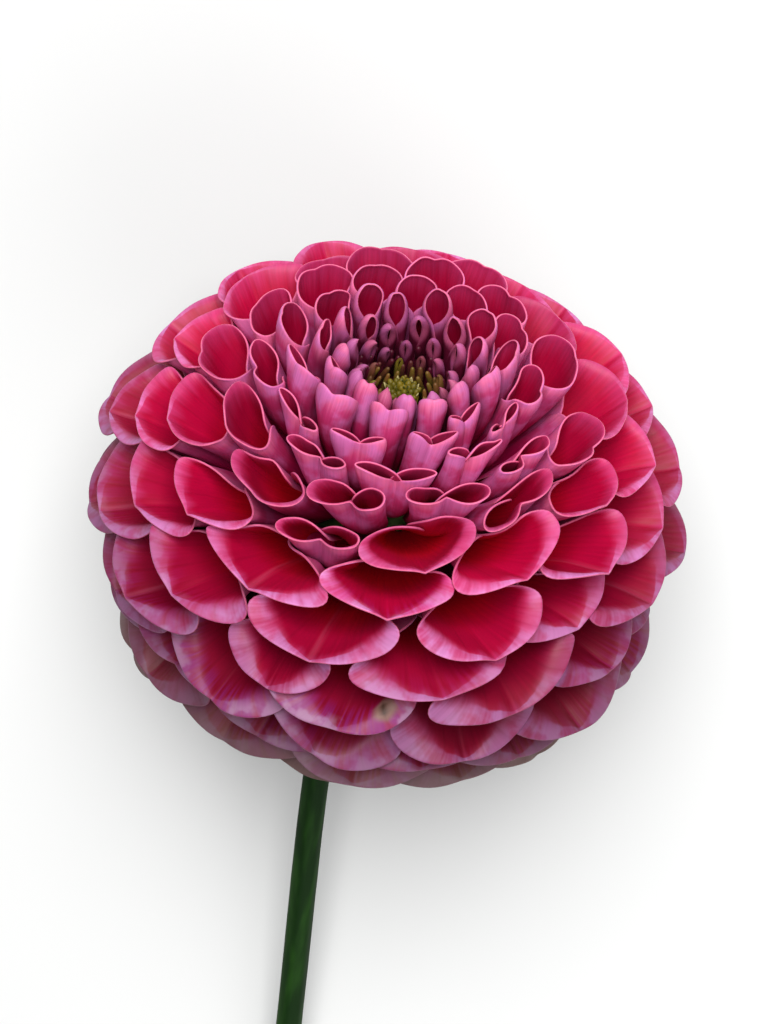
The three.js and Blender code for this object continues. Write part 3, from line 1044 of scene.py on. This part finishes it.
@dataclass(frozen=True)
class PetalFinish:
    """The velvety skin of a floret: crimson inside, mauve-pink outside, with a pale lip and rim, and
    painted light and shade.
    """

    # Painted glow: the crimson deep in the tube is brighter than the one nearer the lip, standing in for
    # light shining through the petals.
    throat_glow: Colour = linear(206, 0, 34)
    inner: Colour = linear(180, 0, 56)
    blush: Colour = linear(196, 50, 106)
    bloom: Colour = linear(206, 122, 182)
    back: Colour = linear(178, 50, 104)
    back_lip: Colour = linear(206, 98, 140)
    back_foot: Colour = linear(150, 4, 62)
    # Partly the young florets' own dark colour and partly painted shade of the crater.
    maroon_painted_shade: Colour = linear(96, 14, 44)
    lavender: Colour = linear(190, 98, 156)
    olive: Colour = linear(128, 116, 34)
    ochre: Colour = linear(132, 70, 46)
    rim: Colour = linear(204, 94, 126)
    old: Colour = linear(190, 116, 146)
    brown: Colour = linear(176, 146, 128)
    worn: Colour = linear(230, 176, 212)
    bruise: Colour = linear(172, 46, 150)
    streak: Colour = linear(218, 92, 128)
    tan: Colour = linear(176, 128, 116)
    dead: Colour = linear(92, 62, 44)
    roughness: float = 0.5
    sheen: float = 0.3
    relief: float = 0.3

    # How far below the lip a shade begins and where it is full, in mm.
    throat_glow_depth: Span = (3.0, 10.0)
    crimson_depth: Span = (-0.4, 1.4)
    bloom_depth: Span = (3.0, 0.2)
    bruise_depth: Span = (3.2, 1.0)
    worn_depth: Span = (1.5, 0.1)
    brown_depth: Span = (2.4, 0.2)
    back_depth: Span = (0.0, 2.4)
    foot_depth: Span = (1.8, 7.0)
    lavender_depth: Span = (8.0, 2.0)
    painted_shade_depth: Span = (0.0, 2.5)

    # The same for the inner edge of the pale band, in its widths.
    sharp_edge: Span = (0.82, 1.1)
    soft_edge: Span = (0.05, 1.9)
    shaded_wing_edge: Span = (-0.4, 0.8)

    # How far from the midrib, on a map that has the margins at 0.5.
    streak_aside: Span = (0.004, 0.03)
    soft_aside: Span = (0.07, 0.2)
    painted_shade_aside: Span = (0.1, 0.26)

    # The growth over which a shade comes or goes, 0 for the youngest floret and 1 for the oldest.
    bud_growth: Span = (0.01, 0.04)
    opened_growth: Span = (0.02, 0.07)
    painted_shade_growth: Span = (0.14, 0.36)
    lavender_growth: Span = (0.25, 0.7)
    bloom_growth: Span = (0.36, 0.64)
    # Over this growth, painted shade on the inside of the younger florets gives way.
    inside_shade_growth: Span = (0.4, 0.54)
    crimson_growth: Span = (0.4, 0.6)
    old_growth: Span = (0.78, 0.98)
    old_back_growth: Span = (0.82, 1.0)
    brown_growth: Span = (0.86, 1.0)
    # Painted light and shade: the florets at the crater's floor and the outer ones at the head's sides
    # are darker, those in between lighter.
    painted_shading: tuple[tuple[Span, Span], ...] = (  # and the factors on all colours before and after it
        ((0.4, 0.8), (1.3, 0.38)), ((0.06, 0.26), (0.58, 1.0)), ((0.72, 0.9), (1.0, 0.78)),
    )

    def material(self) -> bpy.types.Material:
        """Lay out the petal's skin.

        Returns:
            The material.
        """
        board = PetalBoard()
        outer = board.trait(Trait.OUTER)
        # Painted shade: the inside of the young florets' tubes is darkened.
        painted_inside_shade = board.growth.ease(*self.inside_shade_growth).between(0.62, 1.0)
        inside = board.dimmed(self.front_colour(board), painted_inside_shade)
        colour = board.blend(outer.ease(0.3, 0.7), inside, self.back_colour(board))
        colour = board.blend((outer * (1.0 - outer)).ease(0.08, 0.22), colour, self.rim)
        shade = board.veins * 0.4 + 0.8 + board.trait(Trait.TINT) * 0.05
        # Painted light and shade by growth, on top of the veins and the tint.
        for growth, factors in self.painted_shading:
            shade = shade * board.growth.ease(*growth).between(*factors)
        colour = board.dimmed(colour, shade)
        return board.skin(colour, self.roughness, self.sheen, board.veins, self.relief)

    def front_colour(self, board: PetalBoard) -> Signal:
        """Colour the face that looks into the tube: crimson, painted brighter deeper down as a glow of
        light through the petals, and a pale folded lip.

        Args:
            board: the petal's nodes.

        Returns:
            The colour.
        """
        lip, edge, growth = board.frayed_lip, board.frayed_edge, board.growth
        # Painted glow: deeper in the tube the crimson turns brighter.
        crimson = board.blend(lip.ease(*self.throat_glow_depth), self.inner, self.throat_glow)
        young_reach = growth.ease(*self.crimson_growth).between(0.45, 1.0)
        crimson = board.blend((lip * young_reach).ease(*self.crimson_depth), self.blush, crimson)
        midrib = (1.0 - board.aside.ease(*self.streak_aside)) * board.trait(Trait.STREAK)
        crimson = board.blend(midrib * board.streak_grain.ease(0.3, 0.7), crimson, self.streak)

        # The pale lip has a sharp fold next to the midrib, and melts into the crimson at its sides. On
        # the sheltered wing of the side florets it is darkened into the crimson as painted shade.
        fade = board.trait(Trait.FADE) * 0.8
        softness = board.aside.ease(*self.soft_aside)
        deep = softness.between(edge.ease(*self.sharp_edge), edge.ease(*self.soft_edge))
        deep = fade.between(deep, edge.ease(*self.shaded_wing_edge))
        grain = board.mottle.ease(0.36, 0.66) + (board.veins - 0.55)
        pale = (grain + 0.26) * growth.ease(*self.bloom_growth)
        pale = (pale * board.lip.ease(*self.bloom_depth)).clamped() * (1.0 - fade)
        pale = board.blend(pale, self.blush, self.bloom)
        pale = board.blend(growth.ease(*self.old_growth), pale, self.old)
        return self.weathered(board, board.blend(deep, pale, crimson))

    def weathered(self, board: PetalBoard, colour: Signal) -> Signal:
        """Add the whitish and bruised lips, the brown edges of the oldest florets and the blemish.

        Args:
            board: the petal's nodes.
            colour: the fresh front.

        Returns:
            The weathered colour.
        """
        wear = board.trait(Trait.WEAR)
        bruised = board.lip.ease(*self.bruise_depth) * wear * board.veins.ease(0.42, 0.62)
        colour = board.blend(bruised, colour, self.bruise)
        bare = board.lip.ease(*self.worn_depth) * wear * board.mottle.ease(0.46, 0.6)
        colour = board.blend(bare, colour, self.worn)
        aged = board.growth.ease(*self.brown_growth) * board.lip.ease(*self.brown_depth)
        colour = board.blend(aged * 0.7, colour, self.brown)
        spot = board.trait(Trait.SPOT)
        colour = board.blend(spot.ease(0.3, 0.6), colour, self.tan)
        return board.blend(spot.ease(0.56, 0.85), colour, self.dead)

    def back_colour(self, board: PetalBoard) -> Signal:
        """Colour the face that looks out of the tube: mauve-pink, darker towards the foot, and dark
        wine-red towards the margins of the young florets in the crater, partly their own colour and
        partly painted shade.

        Args:
            board: the petal's nodes.

        Returns:
            The colour.
        """
        lip, growth = board.frayed_lip, board.growth
        back = board.blend(lip.ease(*self.foot_depth), self.back, self.back_foot)
        back = board.blend(lip.ease(*self.back_depth), self.back_lip, back)
        youth = 1.0 - growth.ease(*self.lavender_growth)
        cool = board.mottle.ease(0.38, 0.66) * (youth + 0.15)
        back = board.blend(cool * lip.ease(*self.lavender_depth), back, self.lavender)
        back = board.blend(growth.ease(*self.old_back_growth), back, self.old)
        # Painted shade of the crater: dark wine-red towards the young florets' margins, stronger deeper
        # below the lip.
        shaded = board.aside.ease(*self.painted_shade_aside) * (1.0 - growth.ease(*self.painted_shade_growth))
        shaded = (shaded * (board.lip.ease(*self.painted_shade_depth) + 0.6)).clamped()
        back = board.blend(shaded, back, self.maroon_painted_shade)
        bud = board.blend(growth.ease(*self.bud_growth), self.olive, self.ochre)
        return board.blend(growth.ease(*self.opened_growth), bud, back)


@dataclass(frozen=True)
class FloorFinish:
    """A mottled matt floor in two shades."""

    shade: Colour = (0.72, 0.72, 0.71)
    other: Colour = (0.75, 0.75, 0.74)
    scale: float = 3.0
    roughness: float = 0.8

    def material(self) -> bpy.types.Material:
        """Lay out the floor's surface.

        Returns:
            The material.
        """
        board = Board("floor")
        mottle = board.grain(board.place(), self.scale, 4.0)
        colour = board.blend(mottle.ease(0.3, 0.7), self.shade, self.other)
        return board.skin(colour, self.roughness, 0.5, mottle, 0.2)


@dataclass(frozen=True)
class GreenFinish:
    """A leafy skin with lengthwise streaks and another shade towards its tip."""

    name: str
    base: Colour
    streak: Colour
    tip: Colour
    stretch: Point = (300.0, 300.0, 300.0)  # of the streaks' grain, along each axis
    roughness: float = 0.5
    sheen: float = 0.35

    def material(self) -> bpy.types.Material:
        """Lay out the leafy skin.

        Returns:
            The material.
        """
        board = Board(self.name)
        grain = board.streaks(board.place(), self.stretch, 4.0)
        colour = board.blend(grain.ease(0.35, 0.7), self.base, self.streak)
        colour = board.blend(board.trait(Trait.TIP).ease(0.0, 1.0), colour, self.tip)
        return board.skin(colour, self.roughness, self.sheen, grain, 0.3)


# ---------------------------------------------------------------------------------------------
# Assemblies
# ---------------------------------------------------------------------------------------------


def finish_piece(piece: bpy.types.Object, node: str) -> None:
    """Tell the frame what a piece stands for.

    Args:
        piece: the finished object.
        node: the CAD node that it replaces, alone or with others.
    """
    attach(piece, BODY)
    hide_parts(node)
    LOG.info("%s stands for %s", piece.name, node)


def add_object(
    name: str, mesh: bpy.types.Mesh, material: bpy.types.Material, soft: bool = False
) -> bpy.types.Object:
    """Put a mesh in the scene, smooth, with one material.

    Args:
        name: the piece's name.
        mesh: its mesh.
        material: its finish.
        soft: whether its faces are subdivided once.

    Returns:
        The object.
    """
    mesh.materials.append(material)
    mesh.shade_smooth()
    piece = bpy.data.objects.new(name, mesh)
    bpy.context.scene.collection.objects.link(piece)
    if soft:
        rounding = piece.modifiers.new("soft", "SUBSURF")
        rounding.levels = rounding.render_levels = 1
    return piece


@dataclass
class Head:
    """Every floret of the head."""

    pose: HeadPose
    spiral: Spiral
    finish: PetalFinish = PetalFinish()
    row_size: int = 20  # florets in each of the CAD's rows
    last_row_floret: int = 140
    last_young_floret: int = 40
    seed: int = 11

    def node_of(self, number: int) -> str:
        """Find the CAD node that a floret belongs to.

        Args:
            number: the floret.

        Returns:
            The node's name: a row of florets, or the floret's own.
        """
        if number > self.last_row_floret:
            return f"floret_{number:03d}"
        first = (number - 1) // self.row_size * self.row_size + 1
        return f"florets_{first:03d}_{first + self.row_size - 1:03d}"

    def build(self) -> None:
        """Build and dress every floret, from the centre outwards."""
        rng = random.Random(self.seed)
        matrix = self.pose.matrix()
        material = self.finish.material()
        sheets: dict[int, BVHTree] = {}
        for number in range(1, self.spiral.count + 1):
            floret = Floret(number, self.spiral, rng)
            name = f"ray_floret_{number:03d}"
            inner = [sheets[number - step] for step in floret.steps if number > step]
            mesh, sheets[number] = floret.mesh(name, inner, matrix)
            finish_piece(add_object(name, mesh, material, soft=True), self.node_of(number))


@dataclass(frozen=True)
class Leaf:
    """A small pointed blade, lying along X from its foot, with its upper face towards Z."""

    length: float
    width: float
    thickness: float
    belly: float = 0.4  # where it is widest, as a share of its length
    foot: float = 0.5  # width at the foot, as a share of the width
    cup: float = 0.0  # how far the margins stand above the midrib, in mm
    curl: float = 0.0  # how far the tip bends up, in degrees
    groove: float = 0.0  # depth of the midrib's groove, in mm
    paling: float = 1.0  # how far its tip takes the tip's colour
    columns: int = 8
    rows: int = 8

    def half_width(self, along: float) -> float:
        """Measure the blade from its midrib to its margin.

        Args:
            along: where, as a share of its length.

        Returns:
            Half its width there.
        """
        if along < self.belly:
            return self.width / 2 * mix(self.foot, 1.0, math.sin(math.pi / 2 * along / self.belly))
        beyond = (along - self.belly) / (1.0 - self.belly)
        return self.width / 2 * max(0.0, 1.0 - beyond**1.8) + self.thickness * 0.2

    def add_to(self, bm: bmesh.types.BMesh, matrix: Matrix) -> None:
        """Add the blade to a mesh as a thin closed shell.

        Args:
            bm: the mesh.
            matrix: from the blade's own frame to the mesh's.
        """
        own = bmesh.new()
        tip = own.verts.layers.float.new(Trait.TIP.value)
        bmesh.ops.create_grid(own, x_segments=self.rows, y_segments=self.columns, size=1.0)
        bend = math.radians(self.curl)
        for vert in own.verts:
            along, across = vert.co.x * 0.5 + 0.5, vert.co.y
            angle = bend * along
            rise = self.cup * across * across - self.groove * math.exp(-abs(across) / 0.15)
            x = self.length * along * (math.sin(angle) / angle if angle else 1.0)
            z = self.length * along * ((1.0 - math.cos(angle)) / angle if angle else 0.0)
            y = across * self.half_width(along)
            vert.co = (x - rise * math.sin(angle), y, z + rise * math.cos(angle))
            vert[tip] = along * self.paling
        thicken(own, self.thickness)
        part = finish_mesh(own, "leaf", matrix)
        bm.from_mesh(part)
        bpy.data.meshes.remove(part)


@dataclass
class Eye:
    """The button of unopened buds and green scales at the bottom of the crater."""

    pose: HeadPose
    top: float = 18.0
    foot: float = 12.7
    core_radius: float = 1.5
    bud_count: int = 26
    bud_size: float = 0.3
    scale_count: int = 34
    spread: float = 1.8  # of the outermost scale's foot
    rod_count: int = 84
    rod_ring: Span = (1.75, 4.9)  # radius of the first and of the last little rod
    rod_top: Span = (17.7, 18.9)
    rod_length: float = 5.4
    rod_radius: float = 0.36
    turn: float = 137.5  # from each bud, scale or rod to the next
    seed: int = 5
    bud: GreenFinish = GreenFinish(
        "eye_bud", linear(86, 78, 12), linear(124, 106, 20), linear(124, 106, 20),
        stretch=(900.0, 900.0, 900.0),
    )
    scale: GreenFinish = GreenFinish(
        "eye_scale", linear(74, 76, 18), linear(104, 94, 28), linear(186, 172, 116),
    )
    # The rods' dark wine-red is partly their own colour and partly painted shade of the crater's floor.
    rod: GreenFinish = GreenFinish(
        "eye_rod", linear(110, 92, 32), linear(126, 80, 40), linear(78, 10, 34),
        stretch=(1500.0, 1500.0, 300.0),
    )

    def build(self) -> None:
        """Build the buds, the scales round them and the little rods between the first florets."""
        for name, mesh, finish in (
            ("eye_buds", self.buds(), self.bud),
            ("eye_scales", self.scales(), self.scale),
            ("eye_rods", self.rods(), self.rod),
        ):
            finish_piece(add_object(name, mesh, finish.material()), "centre_disc")

    def around(self, number: int) -> Matrix:
        """Return the turn round the head's axis to a bud, scale or rod."""
        return Matrix.Rotation(math.radians(self.turn * number), 4, "Z")

    def buds(self) -> bpy.types.Mesh:
        """Heap little round buds on a short core.

        Returns:
            Their mesh.
        """
        rng = random.Random(self.seed)
        bm = bmesh.new()
        middle = (self.top + self.foot) / 2 - 0.5
        bmesh.ops.create_cone(
            bm, cap_ends=True, segments=16, radius1=self.core_radius, radius2=self.core_radius,
            depth=self.top - self.foot - 1.0, matrix=Matrix.Translation((0.0, 0.0, middle)),
        )
        for i in range(self.bud_count):
            radius = self.core_radius * math.sqrt(i / self.bud_count)
            size = self.bud_size * rng.uniform(0.85, 1.15)
            height = self.top - 0.5 - 0.15 * radius**2
            place = self.around(i) @ Matrix.Translation((radius, 0.0, height))
            place = place @ Matrix.Rotation(math.radians(25.0 * radius), 4, "Y")
            place = place @ Matrix.Diagonal((1.0, 1.0, 1.5, 1.0))
            bmesh.ops.create_uvsphere(bm, u_segments=10, v_segments=8, radius=size, matrix=place)
        return finish_mesh(bm, "eye_buds", self.pose.matrix())

    def scales(self) -> bpy.types.Mesh:
        """Set the pointed scales, the outer ones leaning out further.

        Returns:
            Their mesh.
        """
        rng = random.Random(self.seed + 1)
        bm = bmesh.new()
        for i in range(self.scale_count):
            share = (i + 1) / self.scale_count
            radius = self.spread * math.sqrt(share)
            lift = math.radians(mix(84.0, 56.0, share) + rng.uniform(-8.0, 8.0))
            leaf = Leaf(
                length=rng.uniform(1.1, 1.5), width=rng.uniform(0.5, 0.75), thickness=0.1, cup=0.1,
                curl=12.0, paling=smooth(0.55, 0.8, share),
            )
            height = self.top - 1.3 - 0.35 * share
            place = self.around(i) @ Matrix.Translation((radius - 0.5, 0.0, height))
            leaf.add_to(bm, place @ Matrix.Rotation(-lift, 4, "Y"))
        return finish_mesh(bm, "eye_scales", self.pose.matrix())

    def rods(self) -> bpy.types.Mesh:
        """Set the ring of tiny closed florets, olive next to the eye and dark wine-red further out,
        partly their own colour and partly painted shade of the crater's floor.

        Returns:
            Their mesh.
        """
        rng = random.Random(self.seed + 2)
        bm = bmesh.new()
        tip = bm.verts.layers.float.new(Trait.TIP.value)
        for i in range(self.rod_count):
            share = i / (self.rod_count - 1)
            radius = mix(*self.rod_ring, share**0.8)
            size = self.rod_radius * mix(0.8, 1.15, share) * rng.uniform(0.85, 1.15)
            top = mix(*self.rod_top, share) + rng.uniform(-0.3, 0.3)
            place = self.around(i) @ Matrix.Translation((radius, 0.0, top))
            place = place @ Matrix.Rotation(math.radians(-rng.uniform(8.0, 26.0)), 4, "Y")
            rod = bmesh.ops.create_uvsphere(bm, u_segments=8, v_segments=7, radius=1.0)["verts"]
            ripeness = smooth(0.1, 0.5, share + rng.uniform(-0.12, 0.12))
            for vert in rod:
                height = vert.co.z
                plump = max(0.0, 1.0 - height * height) ** -0.22 if abs(height) < 0.999 else 1.0
                x, y = vert.co.x * plump * size, vert.co.y * plump * size
                vert.co = (x, y, (height - 1.0) * self.rod_length / 2)
                vert[tip] = ripeness
            bmesh.ops.transform(bm, matrix=place, verts=rod)
        return finish_mesh(bm, "eye_rods", self.pose.matrix())


@dataclass
class Bracts:
    """The leafy outer bracts and the ring of thin inner bracts under the head."""

    pose: HeadPose
    outer_count: int = 5
    outer_foot: Point = (5.2, 0.0, -12.4)
    outer_droop: float = 24.0
    inner_count: int = 10
    inner_foot: Point = (5.6, 0.0, -11.7)
    inner_droop: Span = (-3.0, 0.0)  # of every other bract
    seed: int = 3
    outer: GreenFinish = GreenFinish(
        "outer_bract", linear(62, 96, 48), linear(88, 118, 62), linear(104, 92, 66),
        stretch=(900.0, 900.0, 200.0),
    )
    inner: GreenFinish = GreenFinish(
        "inner_bract", linear(120, 132, 78), linear(142, 140, 90), linear(146, 108, 96),
        stretch=(900.0, 900.0, 300.0),
    )

    def build(self) -> None:
        """Build and dress every bract."""
        rng = random.Random(self.seed)
        material = self.outer.material()
        for i in range(self.outer_count):
            leaf = Leaf(
                length=10.0 * rng.uniform(0.94, 1.02), width=5.0 * rng.uniform(0.9, 1.0), thickness=0.5,
                cup=0.5, curl=rng.uniform(-14.0, 4.0), groove=0.25, columns=14, rows=14,
            )
            place = self.place(self.outer_foot, (i + 0.5) / self.outer_count, self.outer_droop)
            self.add(f"outer_bract_blade_{i + 1}", leaf, place, f"outer_bract_{i + 1}", material)
        material = self.inner.material()
        for i in range(self.inner_count):
            leaf = Leaf(
                length=6.4, width=5.0 * rng.uniform(0.9, 1.05), thickness=0.22, foot=0.7, belly=0.6,
                cup=0.3, curl=rng.uniform(-10.0, -4.0), columns=10, rows=8,
            )
            place = self.place(self.inner_foot, i / self.inner_count, self.inner_droop[i % 2])
            self.add(f"inner_bract_{i + 1:02d}", leaf, place, "inner_bracts", material)

    def place(self, foot: Point, turn: float, droop: float) -> Matrix:
        """Return where a bract grows: its foot, turned round the axis, its blade drooping."""
        around = Matrix.Rotation(2.0 * math.pi * turn, 4, "Z")
        return around @ Matrix.Translation(foot) @ Matrix.Rotation(math.radians(droop), 4, "Y")

    def add(self, name: str, leaf: Leaf, place: Matrix, node: str, material: bpy.types.Material) -> None:
        """Add one bract to the scene.

        Args:
            name: the piece's name.
            leaf: its blade.
            place: where it grows.
            node: the CAD node that it replaces.
            material: its finish.
        """
        bm = bmesh.new()
        leaf.add_to(bm, place)
        mesh = finish_mesh(bm, name, self.pose.matrix())
        finish_piece(add_object(name, mesh, material, soft=True), node)


@dataclass
class Stem:
    """The stalk and the receptacle, the swollen top that carries the florets."""

    pose: HeadPose
    radius: float = 1.48
    ribs: int = 7
    rib_depth: float = 0.03
    swelling: float = 0.02  # how uneven its thickness is
    sides: int = 42
    rings: int = 90
    neck: tuple[Point, ...] = (
        (-8.4, 0.0, -7.0), (-11.9, 0.3, -9.9), (-16.6, 1.5, -12.6), (-22.5, 2.4, -14.3),
    )
    lying: tuple[Point, ...] = ((-31.0, 2.8, 10.2), (-58.0, 1.8, 5.2), (-88.0, 0.4, 0.0))
    bark: float = 0.35  # width of the ring round the pith at the cut end
    pith_step: float = 0.25  # width of the step down to the pith
    pith_depth: float = 0.7
    dome_radius: float = 8.0
    dome_height: float = 20.0
    dome_base: float = -8.0
    dome_pitch: float = 7.5  # between two points of its outline
    underside: tuple[Span, ...] = ((7.6, -9.6), (5.2, -11.0), (2.6, -12.4), (1.6, -14.2))
    skin: GreenFinish = GreenFinish(
        "stalk", linear(11, 38, 5), linear(27, 60, 13), linear(188, 198, 150),
        stretch=(60.0, 700.0, 700.0), roughness=0.6, sheen=0.12,
    )
    core: GreenFinish = GreenFinish(
        "receptacle", linear(86, 112, 58), linear(110, 132, 74), linear(110, 132, 74),
    )

    def build(self) -> None:
        """Build both pieces."""
        stalk = add_object("stalk", self.stalk(), self.skin.material())
        finish_piece(stalk, "stem")
        receptacle = add_object("receptacle", self.receptacle(), self.core.material())
        finish_piece(receptacle, "stem")

    def route(self) -> list[Vector]:
        """Lay the stalk's middle line.

        Returns:
            Its points, from the head to the cut end that lies on the floor.
        """
        floor = self.radius - self.pose.middle[2]
        laid = [Vector((x, y, floor + lift)) for x, y, lift in self.lying]
        return [Vector(point) for point in self.neck] + laid

    def spot(self, share: float) -> tuple[Vector, Vector]:
        """Read the smooth line through the route's points.

        Args:
            share: how far along it, 0 at the head and 1 at the cut end.

        Returns:
            The point, and the line's direction there.
        """
        points = self.route()
        points = [points[0] * 2.0 - points[1], *points, points[-1] * 2.0 - points[-2]]
        place = share * (len(points) - 3)
        first = min(int(place), len(points) - 4)
        t = place - first
        p0, p1, p2, p3 = points[first:first + 4]
        d0, d1, d2 = (math.sqrt((b - a).length) for a, b in ((p0, p1), (p1, p2), (p2, p3)))
        start = ((p1 - p0) / d0 - (p2 - p0) / (d0 + d1) + (p2 - p1) / d1) * d1
        end = ((p2 - p1) / d1 - (p3 - p1) / (d1 + d2) + (p3 - p2) / d2) * d1
        square = p1 * -3.0 + p2 * 3.0 - start * 2.0 - end
        cube = p1 * 2.0 - p2 * 2.0 + start + end
        point = p1 + start * t + square * t * t + cube * t * t * t
        return point, (start + square * 2.0 * t + cube * 3.0 * t * t).normalized()

    def stalk(self) -> bpy.types.Mesh:
        """Draw the ribbed stalk, closed at the head and with a pale pithy cut at its end.

        Returns:
            Its mesh.
        """
        bm = bmesh.new()
        cut = bm.verts.layers.float.new(Trait.TIP.value)
        bmesh.ops.create_grid(bm, x_segments=self.sides, y_segments=self.rings, size=1.0)
        for vert in bm.verts:
            around, along = math.pi * (vert.co.x + 1.0), vert.co.y * 0.5 + 0.5
            point, heading = self.spot(along)
            side = heading.cross(Vector((0.0, 0.0, 1.0))).normalized()
            over = side.cross(heading)
            radius = self.radius * (1.0 - self.rib_depth * 0.5 * (1.0 + math.cos(self.ribs * around)))
            radius *= 1.0 + self.swelling * noise.noise(point * 0.35)
            vert.co = point + (side * math.cos(around) + over * math.sin(around)) * radius
        bmesh.ops.remove_doubles(bm, verts=bm.verts, dist=MERGE_DISTANCE)
        edges = [edge for edge in bm.edges if edge.is_boundary]
        filled = bmesh.ops.holes_fill(bm, edges=edges, sides=0)["faces"]
        end = min(filled, key=lambda face: face.calc_center_median().x)
        ring = bmesh.ops.inset_region(bm, faces=[end], thickness=self.bark, use_even_offset=True)
        bmesh.ops.inset_region(
            bm, faces=[end], thickness=self.pith_step, depth=-self.pith_depth, use_even_offset=True
        )
        for face in (end, *ring["faces"]):
            for vert in face.verts:
                vert[cut] = 1.0
        bmesh.ops.recalc_face_normals(bm, faces=bm.faces)
        return finish_mesh(bm, "stalk", self.pose.lying())

    def receptacle(self) -> bpy.types.Mesh:
        """Turn the dome and its underside about the head's axis.

        Returns:
            Their mesh.
        """
        bm = bmesh.new()
        outline = []
        for i in range(13):
            angle = math.radians(self.dome_pitch * i)
            height = self.dome_base + self.dome_height * math.cos(angle)
            outline.append((self.dome_radius * math.sin(angle), height))
        outline += [*self.underside, (0.0, self.underside[-1][1])]
        verts = [bm.verts.new((radius, 0.0, height)) for radius, height in outline]
        edges = [bm.edges.new(pair) for pair in zip(verts, verts[1:])]
        bmesh.ops.spin(
            bm, geom=[*verts, *edges], cent=(0.0, 0.0, 0.0), axis=(0.0, 0.0, 1.0), angle=2.0 * math.pi,
            steps=40, use_merge=True,
        )
        bmesh.ops.remove_doubles(bm, verts=bm.verts, dist=MERGE_DISTANCE)
        bmesh.ops.recalc_face_normals(bm, faces=bm.faces)
        bm.verts.layers.float.new(Trait.TIP.value)
        return finish_mesh(bm, "receptacle", self.pose.matrix())


# ---------------------------------------------------------------------------------------------
# Studio
# ---------------------------------------------------------------------------------------------


@dataclass(frozen=True)
class Lamp:
    """A square soft lamp that shines on the middle of the scene. Its numbers are metres and watts."""

    name: str
    place: Point
    size: float
    power: float

    def hang(self) -> None:
        """Add the lamp to the scene."""
        light = bpy.data.lights.new(self.name, "AREA")
        light.size = self.size
        light.energy = self.power
        holder = bpy.data.objects.new(self.name, light)
        holder.location = self.place
        holder.rotation_euler = (Vector(self.place) * -1.0).to_track_quat("-Z", "Y").to_euler()
        bpy.context.scene.collection.objects.link(holder)


@dataclass
class Studio:
    """The pale floor, the soft lights and the camera."""

    pose: HeadPose
    floor_size: float = 3.0  # from its middle to its sides, in metres
    floor: FloorFinish = FloorFinish()
    glow: Colour = (0.93, 0.96, 1.0)
    glow_strength: float = 0.28
    sky: Lamp = Lamp("sky", (0.32, 0.04, 0.68), 0.5, 6.7)
    fill: Lamp = Lamp("fill", (-0.35, -0.3, 0.4), 0.5, 1.4)
    elevation: float = 48.0  # of the camera over the florets' equator
    distance: float = 210.0
    lean: float = 9.0  # how far the picture is turned
    focal_pixels: float = 2112.0
    picture_height: float = 1024.0

    def build(self) -> None:
        """Add the floor, the glow of the room, the lamps and the camera."""
        self.lay_floor()
        self.light_room()
        self.sky.hang()
        self.fill.hang()
        self.add_camera()

    def lay_floor(self) -> None:
        """Lay a pale floor under the flower."""
        bm = bmesh.new()
        bmesh.ops.create_grid(bm, x_segments=1, y_segments=1, size=self.floor_size)
        mesh = bpy.data.meshes.new("floor")
        bm.to_mesh(mesh)
        bm.free()
        floor = add_object("floor", mesh, self.floor.material())

    def light_room(self) -> None:
        """Let the room glow a little from all sides."""
        world = bpy.data.worlds.new("room")
        world.use_nodes = True
        background = world.node_tree.nodes["Background"]
        background.inputs["Color"].default_value = (*self.glow, 1.0)
        background.inputs["Strength"].default_value = self.glow_strength
        bpy.context.scene.world = world
        bpy.context.scene.view_settings.view_transform = "Standard"

    def add_camera(self) -> None:
        """Look down at the head from where the photograph was taken."""
        rise = math.radians(self.elevation)
        lean = math.radians(self.lean)
        to_camera = Vector((-math.cos(rise), 0.0, math.sin(rise)))
        upright = Vector((math.sin(rise), 0.0, math.cos(rise)))
        right = Vector((0.0, -1.0, 0.0))
        picture_right = right * math.cos(lean) + upright * math.sin(lean)
        picture_up = upright * math.cos(lean) - right * math.sin(lean)
        local = Matrix((picture_right, picture_up, to_camera)).transposed().to_4x4()
        local.translation = to_camera * self.distance
        placed = self.pose.matrix() @ local
        lens = bpy.data.cameras.new("camera")
        lens.sensor_fit = "VERTICAL"
        lens.sensor_height = 24.0
        lens.lens = self.focal_pixels / self.picture_height * lens.sensor_height
        lens.clip_start = 0.01
        camera = bpy.data.objects.new("camera", lens)
        camera.location = placed.translation
        camera.rotation_euler = placed.to_3x3().normalized().to_euler()
        bpy.context.scene.collection.objects.link(camera)
        bpy.context.scene.camera = camera


def main() -> None:
    """Build the flower and its studio."""
    logging.basicConfig(level=logging.INFO, format="%(name)s: %(message)s")
    pose = HeadPose()
    Head(pose, Spiral()).build()
    Eye(pose).build()
    Bracts(pose).build()
    Stem(pose).build()
    Studio(pose).build()


if __name__ == "__main__":
    main()
